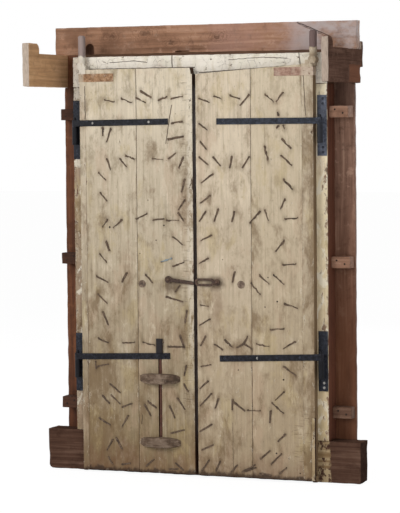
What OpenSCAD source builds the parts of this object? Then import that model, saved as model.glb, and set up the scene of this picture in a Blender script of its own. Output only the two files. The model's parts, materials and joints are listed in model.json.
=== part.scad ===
// Old two-leaf plank door in its timber frame, standing upright.
// The room side faces -Y, the facade side faces +Y, +Z is up.
// The origin is the middle of the sill's underside. All sizes are in millimetres.

/* [Frame] */
// Distance from the middle of the door to the outer side of each post
frame_half = 604; // [596:1:612]
// Width of each post across the door
post_width = 100; // [94:1:104]
// Depth of posts, head and sill, from the room face to the facade face
frame_depth = 100; // [94:1:108]
// Height of the posts' tops above the floor
post_top = 1733; // [1731:1:1736]
// Height of the head beam
head_height = 150; // [140:1:156]
// Fall of the head beam's hewn top from its facade edge to its room edge
head_fall = 16; // [10:1:20]
// Half of the sill's length
sill_half = 748; // [735:1:765]
// Height of the sill
sill_height = 182; // [170:1:195]
// Wear on the sill's lower left corner
sill_wear_left = 16; // [8:1:24]
// Wear on the sill's lower right corner
sill_wear_right = 5; // [2:1:12]
// Height of the sill's step under the leaves
step_height = 16; // [8:1:20]
// Depth of the sill's step, back from the room face
step_depth = 50; // [48:1:56]

/* [Facing boards and lintel] */
// Distance from the middle to the inner edge of each facing board
facing_inner = 548; // [535:1:560]
// Distance from the middle to the outer edge of each facing board
facing_outer = 694; // [685:1:704]
// Thickness of the facing boards
facing_thickness = 25; // [20:1:30]
// Distance from the middle to the lintel board's left end
lintel_left = 737; // [728:1:748]
// Distance from the middle to the lintel board's right end
lintel_right = 704; // [694:1:712]
// Thickness of the lintel board
lintel_thickness = 50; // [44:1:54]
// Height of the lintel board
lintel_height = 125; // [115:1:135]
// Distance from the middle to the centre of each arched notch
notch_x = 564; // [556:1:572]
// Radius of the notch's arch
notch_r = 20; // [16:1:24]
// Height of the notch
notch_height = 50; // [40:1:58]
// Depth of the notches, in from the lintel's room face
notch_depth = 36; // [28:1:40]
// Distance from the middle to the centre of the slot low in the lintel
slot_x = 111; // [100:1:122]
// Length of that slot
slot_length = 68; // [56:1:80]
// Height of that slot
slot_height = 6; // [4:0.5:9]
// Height of that slot above the lintel's lower edge
slot_rise = 4; // [3:0.5:8]
// Depth of that slot, in from the lintel's room face
slot_depth = 24; // [16:1:32]
// Distance from the lintel's right end to where the split starts at its top
split_start = 270; // [250:1:290]
// Length of the split
split_length = 170; // [150:1:190]
// Depth of the split
split_depth = 8; // [5:1:12]
// Width of the split running in from the lintel's top
split_width = 2; // [1:0.5:4]

/* [Wall arms] */
// Distance from the middle to the inner face of each arm
arm_inner = 677; // [674:1:680]
// Thickness of each arm
arm_thickness = 33; // [30:1:36]
// Length of the arm in front of the posts' room faces
arm_front = 294; // [280:1:310]
// Depth of the upright lip at the left arm's front
left_lip_depth = 105; // [95:1:115]
// Depth of the upright lip at the right arm's front
right_lip_depth = 62; // [54:1:70]
// Height of the front lip above the arm's top
arm_lip_height = 45; // [38:1:52]
// Height of the arm
arm_height = 146; // [138:1:150]
// Depth of the lip behind the lintel board
arm_rear_lip = 26; // [20:1:32]
// Height of the lip behind the lintel board
arm_rear_height = 36; // [28:1:44]
// Length lost from the right arm's lower rear corner
arm_break_length = 34; // [24:1:44]
// Height of the broken corner
arm_break_height = 70; // [58:1:80]

/* [Cleats] */
// Length of each cleat, out from the post
cleat_length = 86; // [78:1:90]
// Height of each cleat
cleat_height = 51; // [45:1:57]
// Depth of the left low cleat, forward from the facing board
left_low_depth = 72; // [64:1:80]
// Depth of the left middle cleat
left_mid_depth = 60; // [52:1:68]
// Depth of the left top cleat
left_top_depth = 51; // [44:1:58]
// Depth of the right low cleat
right_low_depth = 50; // [44:1:58]
// Depth of the right middle cleat
right_mid_depth = 62; // [54:1:70]
// Depth of the right top cleat
right_top_depth = 78; // [70:1:84]
// Height of the lowest cleats' middle
cleat_low = 302; // [290:1:315]
// Height of the middle cleats' middle
cleat_mid = 958; // [943:1:973]
// Height of the upper cleats' middle
cleat_top = 1611; // [1596:1:1626]
// Radius of the cleat nails' heads
cleat_nail_r = 4; // [3:0.5:5]

/* [Leaves] */
// Distance from the middle to the outer edge of each leaf
leaf_outer = 553; // [551:1:554]
// Half of the gap between the leaves
gap_half = 8; // [7:0.5:10]
// Thickness of the planks
plank_thickness = 40; // [38:1:42]
// Clear gap between the leaves and the posts' room faces
leaf_clearance = 1; // [0.6:0.2:1.6]
// Height of the leaves' lower edges
leaf_bottom = 12; // [11:1:15]
// Height of the left leaf's top
left_top = 1810; // [1805:1:1815]
// Height of the right leaf's top at the meeting edge
right_top_low = 1782; // [1776:1:1788]
// Height of the right leaf's top at the hinge edge
right_top_high = 1819; // [1813:1:1824]
// Width of the left hanging stile
left_stile_width = 29; // [26:1:32]
// Width of the right hanging stile
right_stile_width = 52; // [48:1:56]
// Width of the left inner plank
left_inner_width = 269; // [255:1:285]
// Width of the right inner plank
right_inner_width = 257; // [243:1:272]
// Depth of the shadow groove worked along each plank joint
joint_groove = 2; // [1:0.5:3]
// Width of the piece broken from the left leaf's top corner
chip_width = 11; // [7:1:15]
// Height of the piece broken from the left leaf's top corner
chip_height = 28; // [20:1:34]
// Width of the repair strip on the right leaf's edge
strip_width = 15; // [11:1:18]
// Height of the repair strip
strip_height = 275; // [255:1:295]

/* [Pivot pegs] */
// Distance from the middle to the pegs' centres
peg_x = 548; // [545:1:550]
// Radius of the pegs
peg_r = 16.5; // [15:0.5:18]
// Height of the upper pegs' tops
peg_top = 1962; // [1950:1:1972]
// Length of the lower pegs
lower_peg = 8; // [6:1:10]
// Width of the rounded shoulder beside each upper peg
shoulder_width = 34; // [30:1:38]
// Height of the shoulder above the stile's top
shoulder_height = 34; // [28:1:38]

/* [Leaf framing on the facade side] */
// Distance from the middle to the meeting edge of the framing
frame_meet = 12; // [11:0.5:14]
// Width of the framing's meeting stile
meet_stile_width = 138; // [130:1:145]
// Width of the framing's hinge stile
hinge_stile_width = 113; // [105:1:118]
// Clear gap between the framing and the post
framing_clearance = 6; // [5:0.5:8]
// Thickness of the framing
framing_thickness = 40; // [36:1:42]
// Height of the framing's lower edge
framing_bottom = 27; // [25:1:30]
// Height of the framing's top
framing_top = 1725; // [1718:1:1728]
// Height of the rails
rail_height = 124; // [118:1:130]
// Height of the lowest nail row
row_low = 50; // [46:1:54]
// Distance between nail rows
row_step = 270; // [268:1:271]
// Height of the lowest rail's middle above its nail row
rail_lift = 52; // [50:1:55]
// Rise of the right leaf's nail rows towards the hinge edge
right_row_rise = 10; // [8:1:12]

/* [Clinched nails] */
// Length of a bent-over tail
tail_length = 49; // [43:1:52]
// Width of a tail where it bends
tail_width = 7.5; // [6:0.5:8]
// Width of a tail at its tip
tail_tip = 4.5; // [3:0.5:5]
// Distance by which the left leaf's nails stand nearer the meeting edge
left_nail_shift = 5; // [0:1:8]
// Height of a tail above the plank
tail_proud = 3; // [2:0.5:4]
// Width of a nail's square shank
shank_width = 5; // [4:0.5:6]
// Radius of a nail's head on the facade side
nail_head_r = 11; // [9:0.5:13]
// Height of a nail's head
nail_head_height = 6; // [4:0.5:7]

/* [Pivot bands] */
// Height of each band
band_height = 37; // [33:1:41]
// Thickness of each band
band_thickness = 3; // [2:0.5:4]
// Length of the left band along the leaf
left_band_length = 168; // [158:1:178]
// Length of the right band along the leaf
right_band_length = 178; // [168:1:188]
// Height of the left band's lower edge
left_band_z = 1754; // [1748:1:1760]
// Height of the right band's lower edge
right_band_z = 1767; // [1761:1:1773]

/* [Strap hinges] */
// Distance from the middle to the hinge axes
axis_x = 581; // [580:1:583]
// Distance of the hinge axes in front of the posts' room faces
axis_out = 34; // [33:0.5:36]
// Width of a hinge plate
plate_width = 43; // [40:1:45]
// Height of a hinge plate
plate_height = 262; // [252:1:272]
// Thickness of the plates
plate_thickness = 5; // [4:0.5:6]
// Distance from the middle to the plates' inner edges
plate_inner = 559; // [558:0.5:560]
// Radius of the eyes and barrels
eye_r = 12; // [11.5:0.5:12.5]
// Radius of the pins
pin_r = 7; // [6:0.5:8]
// Running clearance between pin and eye, on the radius
pin_clearance = 0.05; // [0.03:0.01:0.09]
// Length of the fixed barrel below the eye
barrel_length = 80; // [70:1:88]
// Gap between barrel and eye
eye_gap = 0.5; // [0.4:0.1:0.8]
// Height of a strap's eye
strap_height = 30; // [28:1:33]
// Height of a strap's flat bar beside the eye
bar_height = 27; // [25:1:27]
// Thickness of a strap
strap_thickness = 5; // [4:0.5:6]
// Length of the left straps from the axis
left_strap_length = 458; // [450:1:462]
// Length of the right upper strap from the axis
right_upper_length = 474; // [464:1:480]
// Length of the right lower strap from the axis
right_lower_length = 467; // [460:1:472]
// Height of the left upper strap's middle
left_upper_z = 1570; // [1567:1:1573]
// Height of the left lower strap's middle
left_lower_z = 521; // [518:1:524]
// Height of the right upper strap's middle
right_upper_z = 1573; // [1570:1:1576]
// Height of the right lower strap's middle
right_lower_z = 552; // [549:1:555]
// Rise of the left upper strap towards its tip, in degrees
left_upper_tilt = 0.6; // [0:0.1:1]
// Rise of the left lower strap towards its tip, in degrees
left_lower_tilt = 1.9; // [1.5:0.1:2.2]
// Rise of the right upper strap towards its tip, in degrees
right_upper_tilt = 0; // [-0.4:0.1:0.4]
// Rise of the right lower strap towards its tip, in degrees
right_lower_tilt = -2.4; // [-2.7:0.1:-2]
// Share of a left plate below its eye's middle
left_plate_below = 0.61; // [0.6:0.01:0.63]
// Share of a right plate below its eye's middle
right_plate_below = 0.58; // [0.57:0.01:0.6]
// Clearance of a strap screw's bore in the planks, on the radius
bore_clearance = 0.05; // [0.03:0.01:0.1]
// Radius of the strap and plate screws' heads
screw_r = 6; // [5:0.5:7]
// Length of the screws under the head
screw_length = 32; // [26:1:36]

/* [Hasp and chain link] */
// Distance from the middle to the hasp's stud
hasp_x = 125; // [120:1:130]
// Height of the hasp's stud
hasp_z = 877; // [873:1:881]
// Distance from the middle to the chain link's stud
link_x = 105; // [101:1:109]
// Height of the chain link's stud
link_z = 868; // [864:1:872]
// Radius of both studs
stud_r = 6; // [5:0.5:7]
// Clear gap between a swinging piece and the plank
hasp_gap = 6; // [5:0.5:8]
// Thickness of the swinging pieces
hasp_thickness = 7; // [6:0.5:8]
// Outer radius of the swinging pieces' eyes
hasp_eye_r = 16; // [14:0.5:18]
// Width of the hasp's bar
hasp_width = 16; // [14:0.5:17]
// Fall of the hasp's bar, in degrees
hasp_fall = 7; // [5:1:9]
// Width of the link's rod
link_rod = 10; // [9:0.5:11]
// Height of the oval link
link_height = 34; // [31:1:36]
// Clear gap between the hasp's tip and the link's tip, halved
tip_gap = 2; // [1.5:0.5:3]

/* [Roves] */
// Outer radius of the roves
rove_r = 17; // [14:0.5:20]
// Distance from the middle to the left rove
left_rove_x = 255; // [245:1:265]
// Distance from the middle to the right rove
right_rove_x = 216; // [206:1:226]
// Height of the left rove
left_rove_z = 855; // [847:1:863]
// Height of the right rove
right_rove_z = 860; // [852:1:868]

/* [Drop bolt] */
// Distance from the middle to the bolt's axis
bolt_x = 173; // [168:1:176]
// Radius of the bolt's rod
bolt_r = 8; // [7:0.5:9]
// Radius of the worn middle of the rod
bolt_worn_r = 6; // [5:0.5:6.5]
// Height of the rod's lower end
bolt_bottom = 126; // [116:1:128]
// Height of the bolt head's top
bolt_top = 612; // [606:1:616]
// Width of the bolt's head
bolt_head = 28; // [25:1:31]
// Distance of the rod's front behind the planks' face, in its channel
bolt_sunk = 1; // [0.6:0.1:2]
// Thickness of the bolt's head, in front of the planks
bolt_head_thickness = 11; // [9:1:14]
// Clearance between the bolt's head and the planks
bolt_head_gap = 0.5; // [0.3:0.1:1]
// Height by which the bolt can be lifted
bolt_lift = 40; // [40:1:45]
// Height of the neck between the rod and the head
bolt_neck = 12; // [10:1:14]
// Loose clearance of the rod in its channel, on the radius
bolt_clearance = 0.6; // [0.4:0.1:1]
// Length of a guide
guide_length = 196; // [184:1:200]
// Height of a guide
guide_height = 45; // [40:1:50]
// Depth of a guide
guide_depth = 40; // [37:1:43]
// Height of a guide's ends, as a share of its height
guide_end = 0.5; // [0.4:0.05:0.7]
// Height of the upper guide's middle
guide_high = 434; // [428:1:438]
// Height of the lower guide's middle
guide_low = 150; // [145:1:156]
// Length of the tapers beside the rod's worn middle
bolt_taper = 30; // [24:1:36]

/* [Hidden] */
$fn = 48;
room = -frame_depth / 2;
facade = frame_depth / 2;
opening_half = frame_half - post_width;
head_top = post_top + head_height;
arm_bottom = post_top + 1;
arm_top = arm_bottom + arm_height;
arm_rear = facade + lintel_thickness + arm_rear_lip;
plank_back = room - leaf_clearance;
plank_face = plank_back - plank_thickness;
leaf_width = leaf_outer - gap_half;
left_joint = gap_half + left_inner_width;
right_joint = gap_half + right_inner_width;
left_stile_in = leaf_outer - left_stile_width;
right_stile_in = leaf_outer - right_stile_width;
right_slope = (right_top_high - right_top_low) / leaf_width;
framing_front = plank_back + framing_thickness;
framing_outer = opening_half - framing_clearance;
rail_in = frame_meet + meet_stile_width;
rail_out = framing_outer - hinge_stile_width;
axis_y = room - axis_out;
strap_face = axis_y - eye_r;
plate_face = room - plate_thickness;
hasp_back = plank_face - hasp_gap;
hasp_face = hasp_back - hasp_thickness;
bolt_y = plank_face + bolt_sunk + bolt_r;
bolt_reach = axis_x - bolt_x + bolt_head / 2;
bolt_head_low = left_lower_z + bolt_reach * tan(left_lower_tilt) + 0.5
  + bar_height / 2 / cos(left_lower_tilt);
peg_y = plank_face + plank_thickness / 2;
wood_dark = [0.35, 0.22, 0.16];
wood_mid = [0.52, 0.38, 0.28];
paint = [0.80, 0.74, 0.64];
wood_bare = [0.45, 0.32, 0.22];
black_iron = [0.15, 0.17, 0.22];
rust = [0.36, 0.24, 0.18];
grey_wood = [0.46, 0.41, 0.37];

// Box from its low corner to its high corner
module box(lo, hi) {
  translate(lo) cube([hi[0] - lo[0], hi[1] - lo[1], hi[2] - lo[2]]);
}

// Left-hand pieces are the right-hand shapes mirrored
module left_side() {
  mirror([1, 0, 0]) children();
}

// Outline drawn in X and Z, with its thickness from y0 to y1
module upright(y0, y1) {
  translate([0, y1, 0]) rotate([90, 0, 0]) linear_extrude(height = y1 - y0) children();
}

// Cylinder lying along Y
module rod_y(x, z, r, y0, y1) {
  translate([x, y1, z]) rotate([90, 0, 0]) cylinder(r = r, h = y1 - y0);
}

// Frame

module sill() {
  color(wood_dark) difference() {
    upright(room, facade) polygon([
      [-sill_half, sill_wear_left],
      [-sill_half + sill_wear_left * 0.3, sill_wear_left * 0.3],
      [-sill_half + sill_wear_left, 0],
      [sill_half - sill_wear_right, 0],
      [sill_half, sill_wear_right],
      [sill_half, sill_height],
      [-sill_half, sill_height]]);
    box([-opening_half, room - 1, step_height], [opening_half, room + step_depth, sill_height + 1]);
  }
}

module post() {
  color(paint) box([opening_half, room, sill_height], [frame_half, facade, post_top]);
}

module left_post() {
  left_side() post();
}

module right_post() {
  post();
}

module head() {
  color(paint) translate([-frame_half, 0, 0]) rotate([90, 0, 90]) linear_extrude(height = 2 * frame_half)
    polygon([[room, post_top], [facade, post_top], [facade, head_top], [room, head_top - head_fall]]);
}

module notch(x) {
  box([x - notch_r, facade - 1, arm_top - 1],
    [x + notch_r, facade + notch_depth, arm_top + notch_height - notch_r]);
  rod_y(x, arm_top + notch_height - notch_r, notch_r, facade - 1, facade + notch_depth);
}

module lintel_board() {
  color(wood_mid) difference() {
    box([-lintel_left, facade, arm_top], [lintel_right, facade + lintel_thickness, arm_top + lintel_height]);
    notch(-notch_x);
    notch(notch_x);
    box([-slot_x - slot_length / 2, facade - 1, arm_top + slot_rise],
      [-slot_x + slot_length / 2, facade + slot_depth, arm_top + slot_rise + slot_height]);
    translate([lintel_right - split_start, facade - 1, arm_top + lintel_height - 8]) rotate([0, 24, 0])
      cube([split_length, split_depth + 1, split_width]);
  }
}

module facing_board() {
  color(wood_dark) difference() {
    box([facing_inner, facade, 0], [facing_outer, facade + facing_thickness, arm_top]);
    box([arm_inner, facade - 1, arm_bottom], [facing_outer + 1, facade + facing_thickness + 1, arm_top + 1]);
  }
}

module left_facing_board() {
  left_side() facing_board();
}

module right_facing_board() {
  facing_board();
}

// Arm outline in Y and Z; broken is the length lost at the lower rear corner
module arm(broken, lip_depth) {
  front = room - arm_front;
  lip_in = front + lip_depth;
  lip_top = arm_top + arm_lip_height;
  behind = facade + lintel_thickness;
  translate([arm_inner, 0, 0]) rotate([90, 0, 90]) linear_extrude(height = arm_thickness) polygon([
    [front, arm_bottom],
    [front, lip_top],
    [lip_in - 20, lip_top],
    [lip_in - 6, lip_top - 9],
    [lip_in, lip_top - 26],
    [lip_in, arm_top],
    [behind, arm_top],
    [behind, arm_top + arm_rear_height],
    [arm_rear, arm_top + arm_rear_height],
    [arm_rear, arm_bottom + arm_break_height],
    [arm_rear - broken, arm_bottom + arm_break_height - 4],
    [arm_rear - broken * 1.15, arm_bottom + arm_break_height * 0.6],
    [arm_rear - broken * 0.9, arm_bottom + arm_break_height * 0.35],
    [arm_rear - broken, arm_bottom]]);
}

module left_wall_arm() {
  color(wood_mid) left_side() arm(2, left_lip_depth);
}

module right_wall_arm() {
  color(wood_dark) arm(arm_break_length, right_lip_depth);
}

module cleat(z, depth) {
  color(wood_mid) box([frame_half, facade - depth, z - cleat_height / 2],
    [frame_half + cleat_length, facade, z + cleat_height / 2]);
}

module left_cleat_low() {
  left_side() cleat(cleat_low, left_low_depth);
}

module left_cleat_mid() {
  left_side() cleat(cleat_mid, left_mid_depth);
}

module left_cleat_top() {
  left_side() cleat(cleat_top, left_top_depth);
}

module right_cleat_low() {
  cleat(cleat_low, right_low_depth);
}

module right_cleat_mid() {
  cleat(cleat_mid, right_mid_depth);
}

module right_cleat_top() {
  cleat(cleat_top, right_top_depth);
}

// One nail of a cleat, its head standing a little proud of the cleat
module cleat_nail(x, z, depth) {
  face = facade - depth;
  rod_y(x, z, cleat_nail_r, face - 1.5, face + 1);
  rod_y(x, z, cleat_nail_r / 2, face, facade + facing_thickness - 4);
}

module cleat_nail_set(depths) {
  heights = [cleat_low, cleat_mid, cleat_top];
  for (k = [0:2]) {
    cleat_nail(frame_half + cleat_length * 0.3, heights[k] + cleat_height * 0.18, depths[k]);
    cleat_nail(frame_half + cleat_length * 0.72, heights[k] - cleat_height * 0.12, depths[k]);
  }
}

module cleat_nails() {
  color(rust) {
    cleat_nail_set([right_low_depth, right_mid_depth, right_top_depth]);
    left_side() cleat_nail_set([left_low_depth, left_mid_depth, left_top_depth]);
  }
}

// Hinge plates on the posts, each with its fixed barrel and pin

module plate(z, below) {
  eye_low = z - strap_height / 2;
  barrel_top = eye_low - eye_gap;
  plate_low = z - plate_height * below;
  color(black_iron) {
    box([plate_inner, plate_face, plate_low], [plate_inner + plate_width, room, plate_low + plate_height]);
    box([axis_x - 6, axis_y, barrel_top - barrel_length], [axis_x + 6, plate_face + 0.5, barrel_top]);
    translate([axis_x, axis_y, barrel_top - barrel_length]) cylinder(r = eye_r, h = barrel_length);
    translate([axis_x, axis_y, barrel_top - 4]) cylinder(r = pin_r, h = strap_height + 10);
    translate([axis_x, axis_y, barrel_top + strap_height + 6]) sphere(r = pin_r);
  }
}

module left_upper_plate() {
  left_side() plate(left_upper_z, left_plate_below);
}

module left_lower_plate() {
  left_side() plate(left_lower_z, left_plate_below);
}

module right_upper_plate() {
  plate(right_upper_z, right_plate_below);
}

module right_lower_plate() {
  plate(right_lower_z, right_plate_below);
}

// Domed screw driven in along +Y from the face at y
module screw(x, y, z) {
  translate([x, y, z]) rotate([90, 0, 0]) cylinder(r1 = screw_r, r2 = screw_r * 0.5, h = 2.4);
  rod_y(x, z, screw_r * 0.4, y - 1, y + screw_length);
}

module plate_screw_set(z, below) {
  low = z - plate_height * below;
  for (at = [0.06, 0.14, 0.86, 0.94]) {
    screw(plate_inner + plate_width * 0.6, plate_face, low + plate_height * at);
  }
}

module plate_screws() {
  color(black_iron) {
    plate_screw_set(right_upper_z, right_plate_below);
    plate_screw_set(right_lower_z, right_plate_below);
    left_side() {
      plate_screw_set(left_upper_z, left_plate_below);
      plate_screw_set(left_lower_z, left_plate_below);
    }
  }
}

// Leaves

// Plank outline from x0 to x1 with its own top heights, a shallow groove along each joint edge
module plank(x0, x1, top0, top1, groove0, groove1) {
  color(paint) difference() {
    upright(plank_face, plank_back) polygon([[x0, leaf_bottom], [x1, leaf_bottom], [x1, top1], [x0, top0]]);
    if (groove0 > 0) {
      box([x0 - 1, plank_face - 1, leaf_bottom - 1], [x0 + 1.2, plank_face + groove0, max(top0, top1) + 1]);
    }
    if (groove1 > 0) {
      box([x1 - 1.2, plank_face - 1, leaf_bottom - 1], [x1 + 1, plank_face + groove1, max(top0, top1) + 1]);
    }
  }
}

// Hanging stile with its upper and lower pivot pegs and a rounded shoulder
module hanging_stile(inner, top) {
  shoulder_in = peg_x + 2 - shoulder_width;
  color(paint) {
    box([inner, plank_face, leaf_bottom], [leaf_outer, plank_back, top]);
    translate([peg_x, peg_y, top - 12]) cylinder(r = peg_r, h = peg_top - 6 - top + 12);
    translate([peg_x, peg_y, peg_top - 6]) cylinder(r1 = peg_r, r2 = peg_r - 5, h = 6);
    translate([peg_x, peg_y, leaf_bottom - lower_peg]) cylinder(r = peg_r - 4, h = lower_peg + 20);
    box([max(shoulder_in, inner), plank_face + 2, top - 1],
      [peg_x, plank_back - 2, top + shoulder_height * 0.45]);
    translate([peg_x, plank_back - 2, top + shoulder_height * 0.45]) rotate([90, 0, 0])
      cylinder(r = shoulder_height * 0.55, h = plank_thickness - 4);
  }
}

module left_hanging_stile() {
  left_side() difference() {
    hanging_stile(left_stile_in, left_top);
    left_bores();
  }
}

module left_outer_plank() {
  left_side() difference() {
    plank(left_joint, left_stile_in, left_top, left_top, joint_groove, 0);
    left_bores();
  }
}

// Channel in which the drop bolt's rod slides
module bolt_channel() {
  half = bolt_r + bolt_clearance;
  box([bolt_x - half, plank_face - 1, bolt_bottom - 2],
    [bolt_x + half, bolt_y + half, bolt_head_low + bolt_neck + bolt_lift + 2]);
}

module left_inner_plank() {
  left_side() difference() {
    plank(gap_half, left_joint, left_top, left_top, 0, joint_groove);
    left_bores();
    bolt_channel();
    upright(plank_face - 1, plank_back + 1) polygon([
      [gap_half - 1, left_top - chip_height],
      [gap_half + chip_width * 0.5, left_top - chip_height],
      [gap_half + chip_width * 0.7, left_top - chip_height * 0.5],
      [gap_half + chip_width, left_top + 1],
      [gap_half - 1, left_top + 1]]);
  }
}

function right_top(x) = right_top_low + right_slope * (x - gap_half);

module right_hanging_stile() {
  difference() {
    hanging_stile(right_stile_in, right_top_high);
    right_bores();
    box([leaf_outer - strip_width, plank_face - 1, leaf_bottom - 1],
      [leaf_outer + 1, plank_face + plank_thickness / 2, leaf_bottom + strip_height]);
  }
}

module right_repair_strip() {
  color(paint) box([leaf_outer - strip_width, plank_face, leaf_bottom],
    [leaf_outer, plank_face + plank_thickness / 2, leaf_bottom + strip_height]);
}

module right_outer_plank() {
  difference() {
    plank(right_joint, right_stile_in, right_top(right_joint), right_top(right_stile_in),
      joint_groove, 0);
    right_bores();
  }
}

module right_inner_plank() {
  difference() {
    plank(gap_half, right_joint, right_top_low, right_top(right_joint), 0, joint_groove);
    right_bores();
  }
}

// Framing on the facade side of the leaves

module framing_hinge_stile() {
  color(wood_bare) box([rail_out, plank_back, framing_bottom], [framing_outer, framing_front, framing_top]);
}

module framing_meeting_stile() {
  color(wood_bare) box([frame_meet, plank_back, framing_bottom], [rail_in, framing_front, framing_top]);
}

// Height of nail row k, with the leaf's own small drifts from even spacing
function row_z(k, drift) = row_low + row_step * k + drift[k];

module framing_rails(drift) {
  color(wood_bare) for (k = [0:6]) {
    mid = min(row_z(k, drift) + (k == 0 ? rail_lift : 0), framing_top - rail_height / 2);
    box([rail_in, plank_back, mid - rail_height / 2], [rail_out, framing_front, mid + rail_height / 2]);
  }
}

module left_framing_hinge_stile() {
  left_side() framing_hinge_stile();
}

module left_framing_meeting_stile() {
  left_side() framing_meeting_stile();
}

module left_framing_rails() {
  left_side() framing_rails(left_drift);
}

module right_framing_hinge_stile() {
  framing_hinge_stile();
}

module right_framing_meeting_stile() {
  framing_meeting_stile();
}

module right_framing_rails() {
  framing_rails(right_drift);
}

// Clinched nails. Each entry is [percent of the leaf's width from the meeting edge,
// height above the nail row, direction of the tail in degrees, tail length as a share].
// Directions run from the shank as seen on the room side, 0 to the right, 90 up.
// The drifts are each row's distance from even spacing, from the lowest row up.
left_drift = [-10, -6, -2, 6, 9, 11, 9];
right_drift = [-5, 9, 7, 13, 17, 7, 4];
left_rows = [
  [[78, 31, -60, 0.8], [66, 0, 10, 0.9], [44, 0, 40, 1], [24, -10, 5, 0.9], [18, 18, -40, 1]],
  [[83, 33, -45, 1], [75, 37, -40, 1.2], [65, -15, 20, 1], [42, 16, -35, 1],
    [45, 0, -60, 1.2], [23, 0, -65, 1.2], [16, 37, -55, 1.3]],
  [[86, 18, -20, 1.1], [64, 0, 5, 1.2], [46, 5, -10, 1.2], [24, -10, 0, 1.7], [13, 40, -70, 1.2]],
  [[87, 20, -25, 1.3], [60, 36, -120, 1], [43, 30, -50, 1], [17, -45, 55, 0.8]],
  [[14, 35, -55, 1], [51, 5, 25, 1.2], [36, 0, 5, 1.1],
    [24, 0, 0, 1.2], [77, 0, -125, 0.8], [64, 0, -140, 1.1]],
  [[60, 15, -20, 1], [65, 0, -50, 1], [77, 0, -70, 1.1], [36, 0, -5, 1], [22, 0, 35, 0.9], [9, 5, -115, 1.1]],
  [[78, -5, -10, 1], [63, 0, -20, 1.1], [50, 0, -25, 1],
    [46, 32, -30, 1.2], [30, -10, 20, 0.9], [19, -5, 10, 1.1]]];
left_columns = [
  [[86, 205, -30, 1.3], [60, 220, -120, 1.2], [22, 152, 15, 1.4], [74, 110, -120, 1.2], [71, 118, -60, 1.2]],
  [[89, 186, -85, 0.7], [87, 164, 12, 1.1], [8, 180, -103, 0.9], [10, 98, -60, 0.8], [76, 85, -35, 1.3]],
  [[86, 216, -40, 1.2], [25, 211, -15, 1.7], [82, 135, -65, 1.3], [7, 154, -100, 1.2]],
  [[19, 200, -35, 1.2], [78, 175, -70, 0.9], [84, 120, -50, 1], [20, 104, -165, 1.1], [19, 70, 20, 1.2]],
  [[84, 210, -45, 1], [8, 180, -105, 1.2], [8, 90, -125, 1.1], [83, 120, -50, 1]],
  [[19, 155, 10, 1.1], [22, 85, 10, 1.5], [80, 140, -90, 0.8], [73, 135, -110, 1.3]]];
right_rows = [
  [[3, -15, 55, 1.3], [15, -15, 65, 1.1], [29, -15, 50, 0.9], [38, -15, 20, 1.4], [40, -8, 30, 1.2],
    [53, -18, -5, 1.2], [70, -15, 40, 0.9], [54, 48, 40, 1.2], [63, 25, 45, 1.4]],
  [[12, 45, -135, 1.6], [18, 25, -110, 1], [30, 22, -90, 1], [31, 10, -35, 1.3], [43, -25, 0, 1.2],
    [64, 10, -40, 1.4], [63, -25, -95, 1.1]],
  [[7, 30, -120, 1], [15, -5, -30, 0.9], [24, 15, -40, 1], [40, 0, 60, 0.8], [40, 0, -30, 0.9],
    [40, 0, -150, 0.8], [51, 0, -10, 1.2], [84, 10, -150, 1.3], [63, 64, 5, 1.3]],
  [[33, 40, -105, 1], [47, -10, -50, 1.3], [54, 25, -40, 1.2], [66, 25, -40, 1.3]],
  [[8, 30, -125, 1.1], [19, 40, -110, 1.2], [33, 30, -105, 1], [55, 29, -133, 1.5], [59, 32, -70, 1],
    [76, -5, 5, 1.2]],
  [[3, 10, -40, 1.1], [15, 10, -50, 1.1], [31, 10, -100, 1.1], [46, 5, -125, 1.2], [73, 8, -40, 1.3],
    [59, 50, -75, 1.3]],
  [[3, 0, -20, 1.1], [16, 8, -20, 0.8], [30, 10, -20, 1],
    [46, 10, -130, 1.3], [60, 8, -40, 1], [75, 12, -130, 1]]];
right_columns = [
  [[12, 193, -150, 1.4], [75, 158, -135, 1], [3, 78, 25, 1.3]],
  [[3, 165, 10, 1], [74, 170, -35, 1.4], [9, 100, -140, 1.1], [74, 60, -135, 1.1]],
  [[3, 170, -10, 0.8], [75, 176, -15, 1.3], [11, 107, -150, 1.2]],
  [[13, 200, -155, 1.2], [75, 175, -130, 1.3], [10, 100, -150, 1], [74, 70, 5, 1.2]],
  [[14.5, 195, -145, 1.4], [75, 165, -45, 1.2], [12, 100, -145, 1.2], [76, 80, -115, 1]],
  [[3, 157, -35, 1], [4, 77, -50, 0.9], [74, 80, -45, 1.2], [71, 183, 110, 0.3], [71, 138, -140, 0.3],
    [75, 138, -70, 0.35]]];

// One nail: square shank right through, head on the facade side, tail on the room side
module nail(x, z, turn, share) {
  translate([x, 0, z]) {
    box([-shank_width / 2, plank_face - tail_proud, -shank_width / 2],
      [shank_width / 2, framing_front, shank_width / 2]);
    rotate([0, -turn, 0]) upright(plank_face - tail_proud, plank_face + 0.5)
      polygon([[0, -tail_width / 2], [tail_length * share, -tail_tip / 2],
        [tail_length * share, tail_tip / 2], [0, tail_width / 2]]);
    translate([0, framing_front, 0]) rotate([-90, 0, 0])
      cylinder(r1 = nail_head_r, r2 = nail_head_r * 0.45, h = nail_head_height, $fn = 24);
  }
}

// side is -1 for the left leaf and 1 for the right leaf
module nail_field(side, rows, columns, drift, rise, shift) {
  color(rust) {
    for (k = [0:6]) for (n = rows[k]) {
      share = n[0] / 100;
      nail(side * (gap_half + leaf_width * share) + shift, row_z(k, drift) + rise * share + n[1], n[2], n[3]);
    }
    for (k = [0:5]) for (n = columns[k]) {
      share = n[0] / 100;
      nail(side * (gap_half + leaf_width * share) + shift, row_z(k, drift) + rise * share + n[1], n[2], n[3]);
    }
  }
}

module left_nails() {
  nail_field(-1, left_rows, left_columns, left_drift, 0, left_nail_shift);
}

module right_nails() {
  nail_field(1, right_rows, right_columns, right_drift, right_row_rise, 0);
}

// Iron on the leaves

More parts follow.
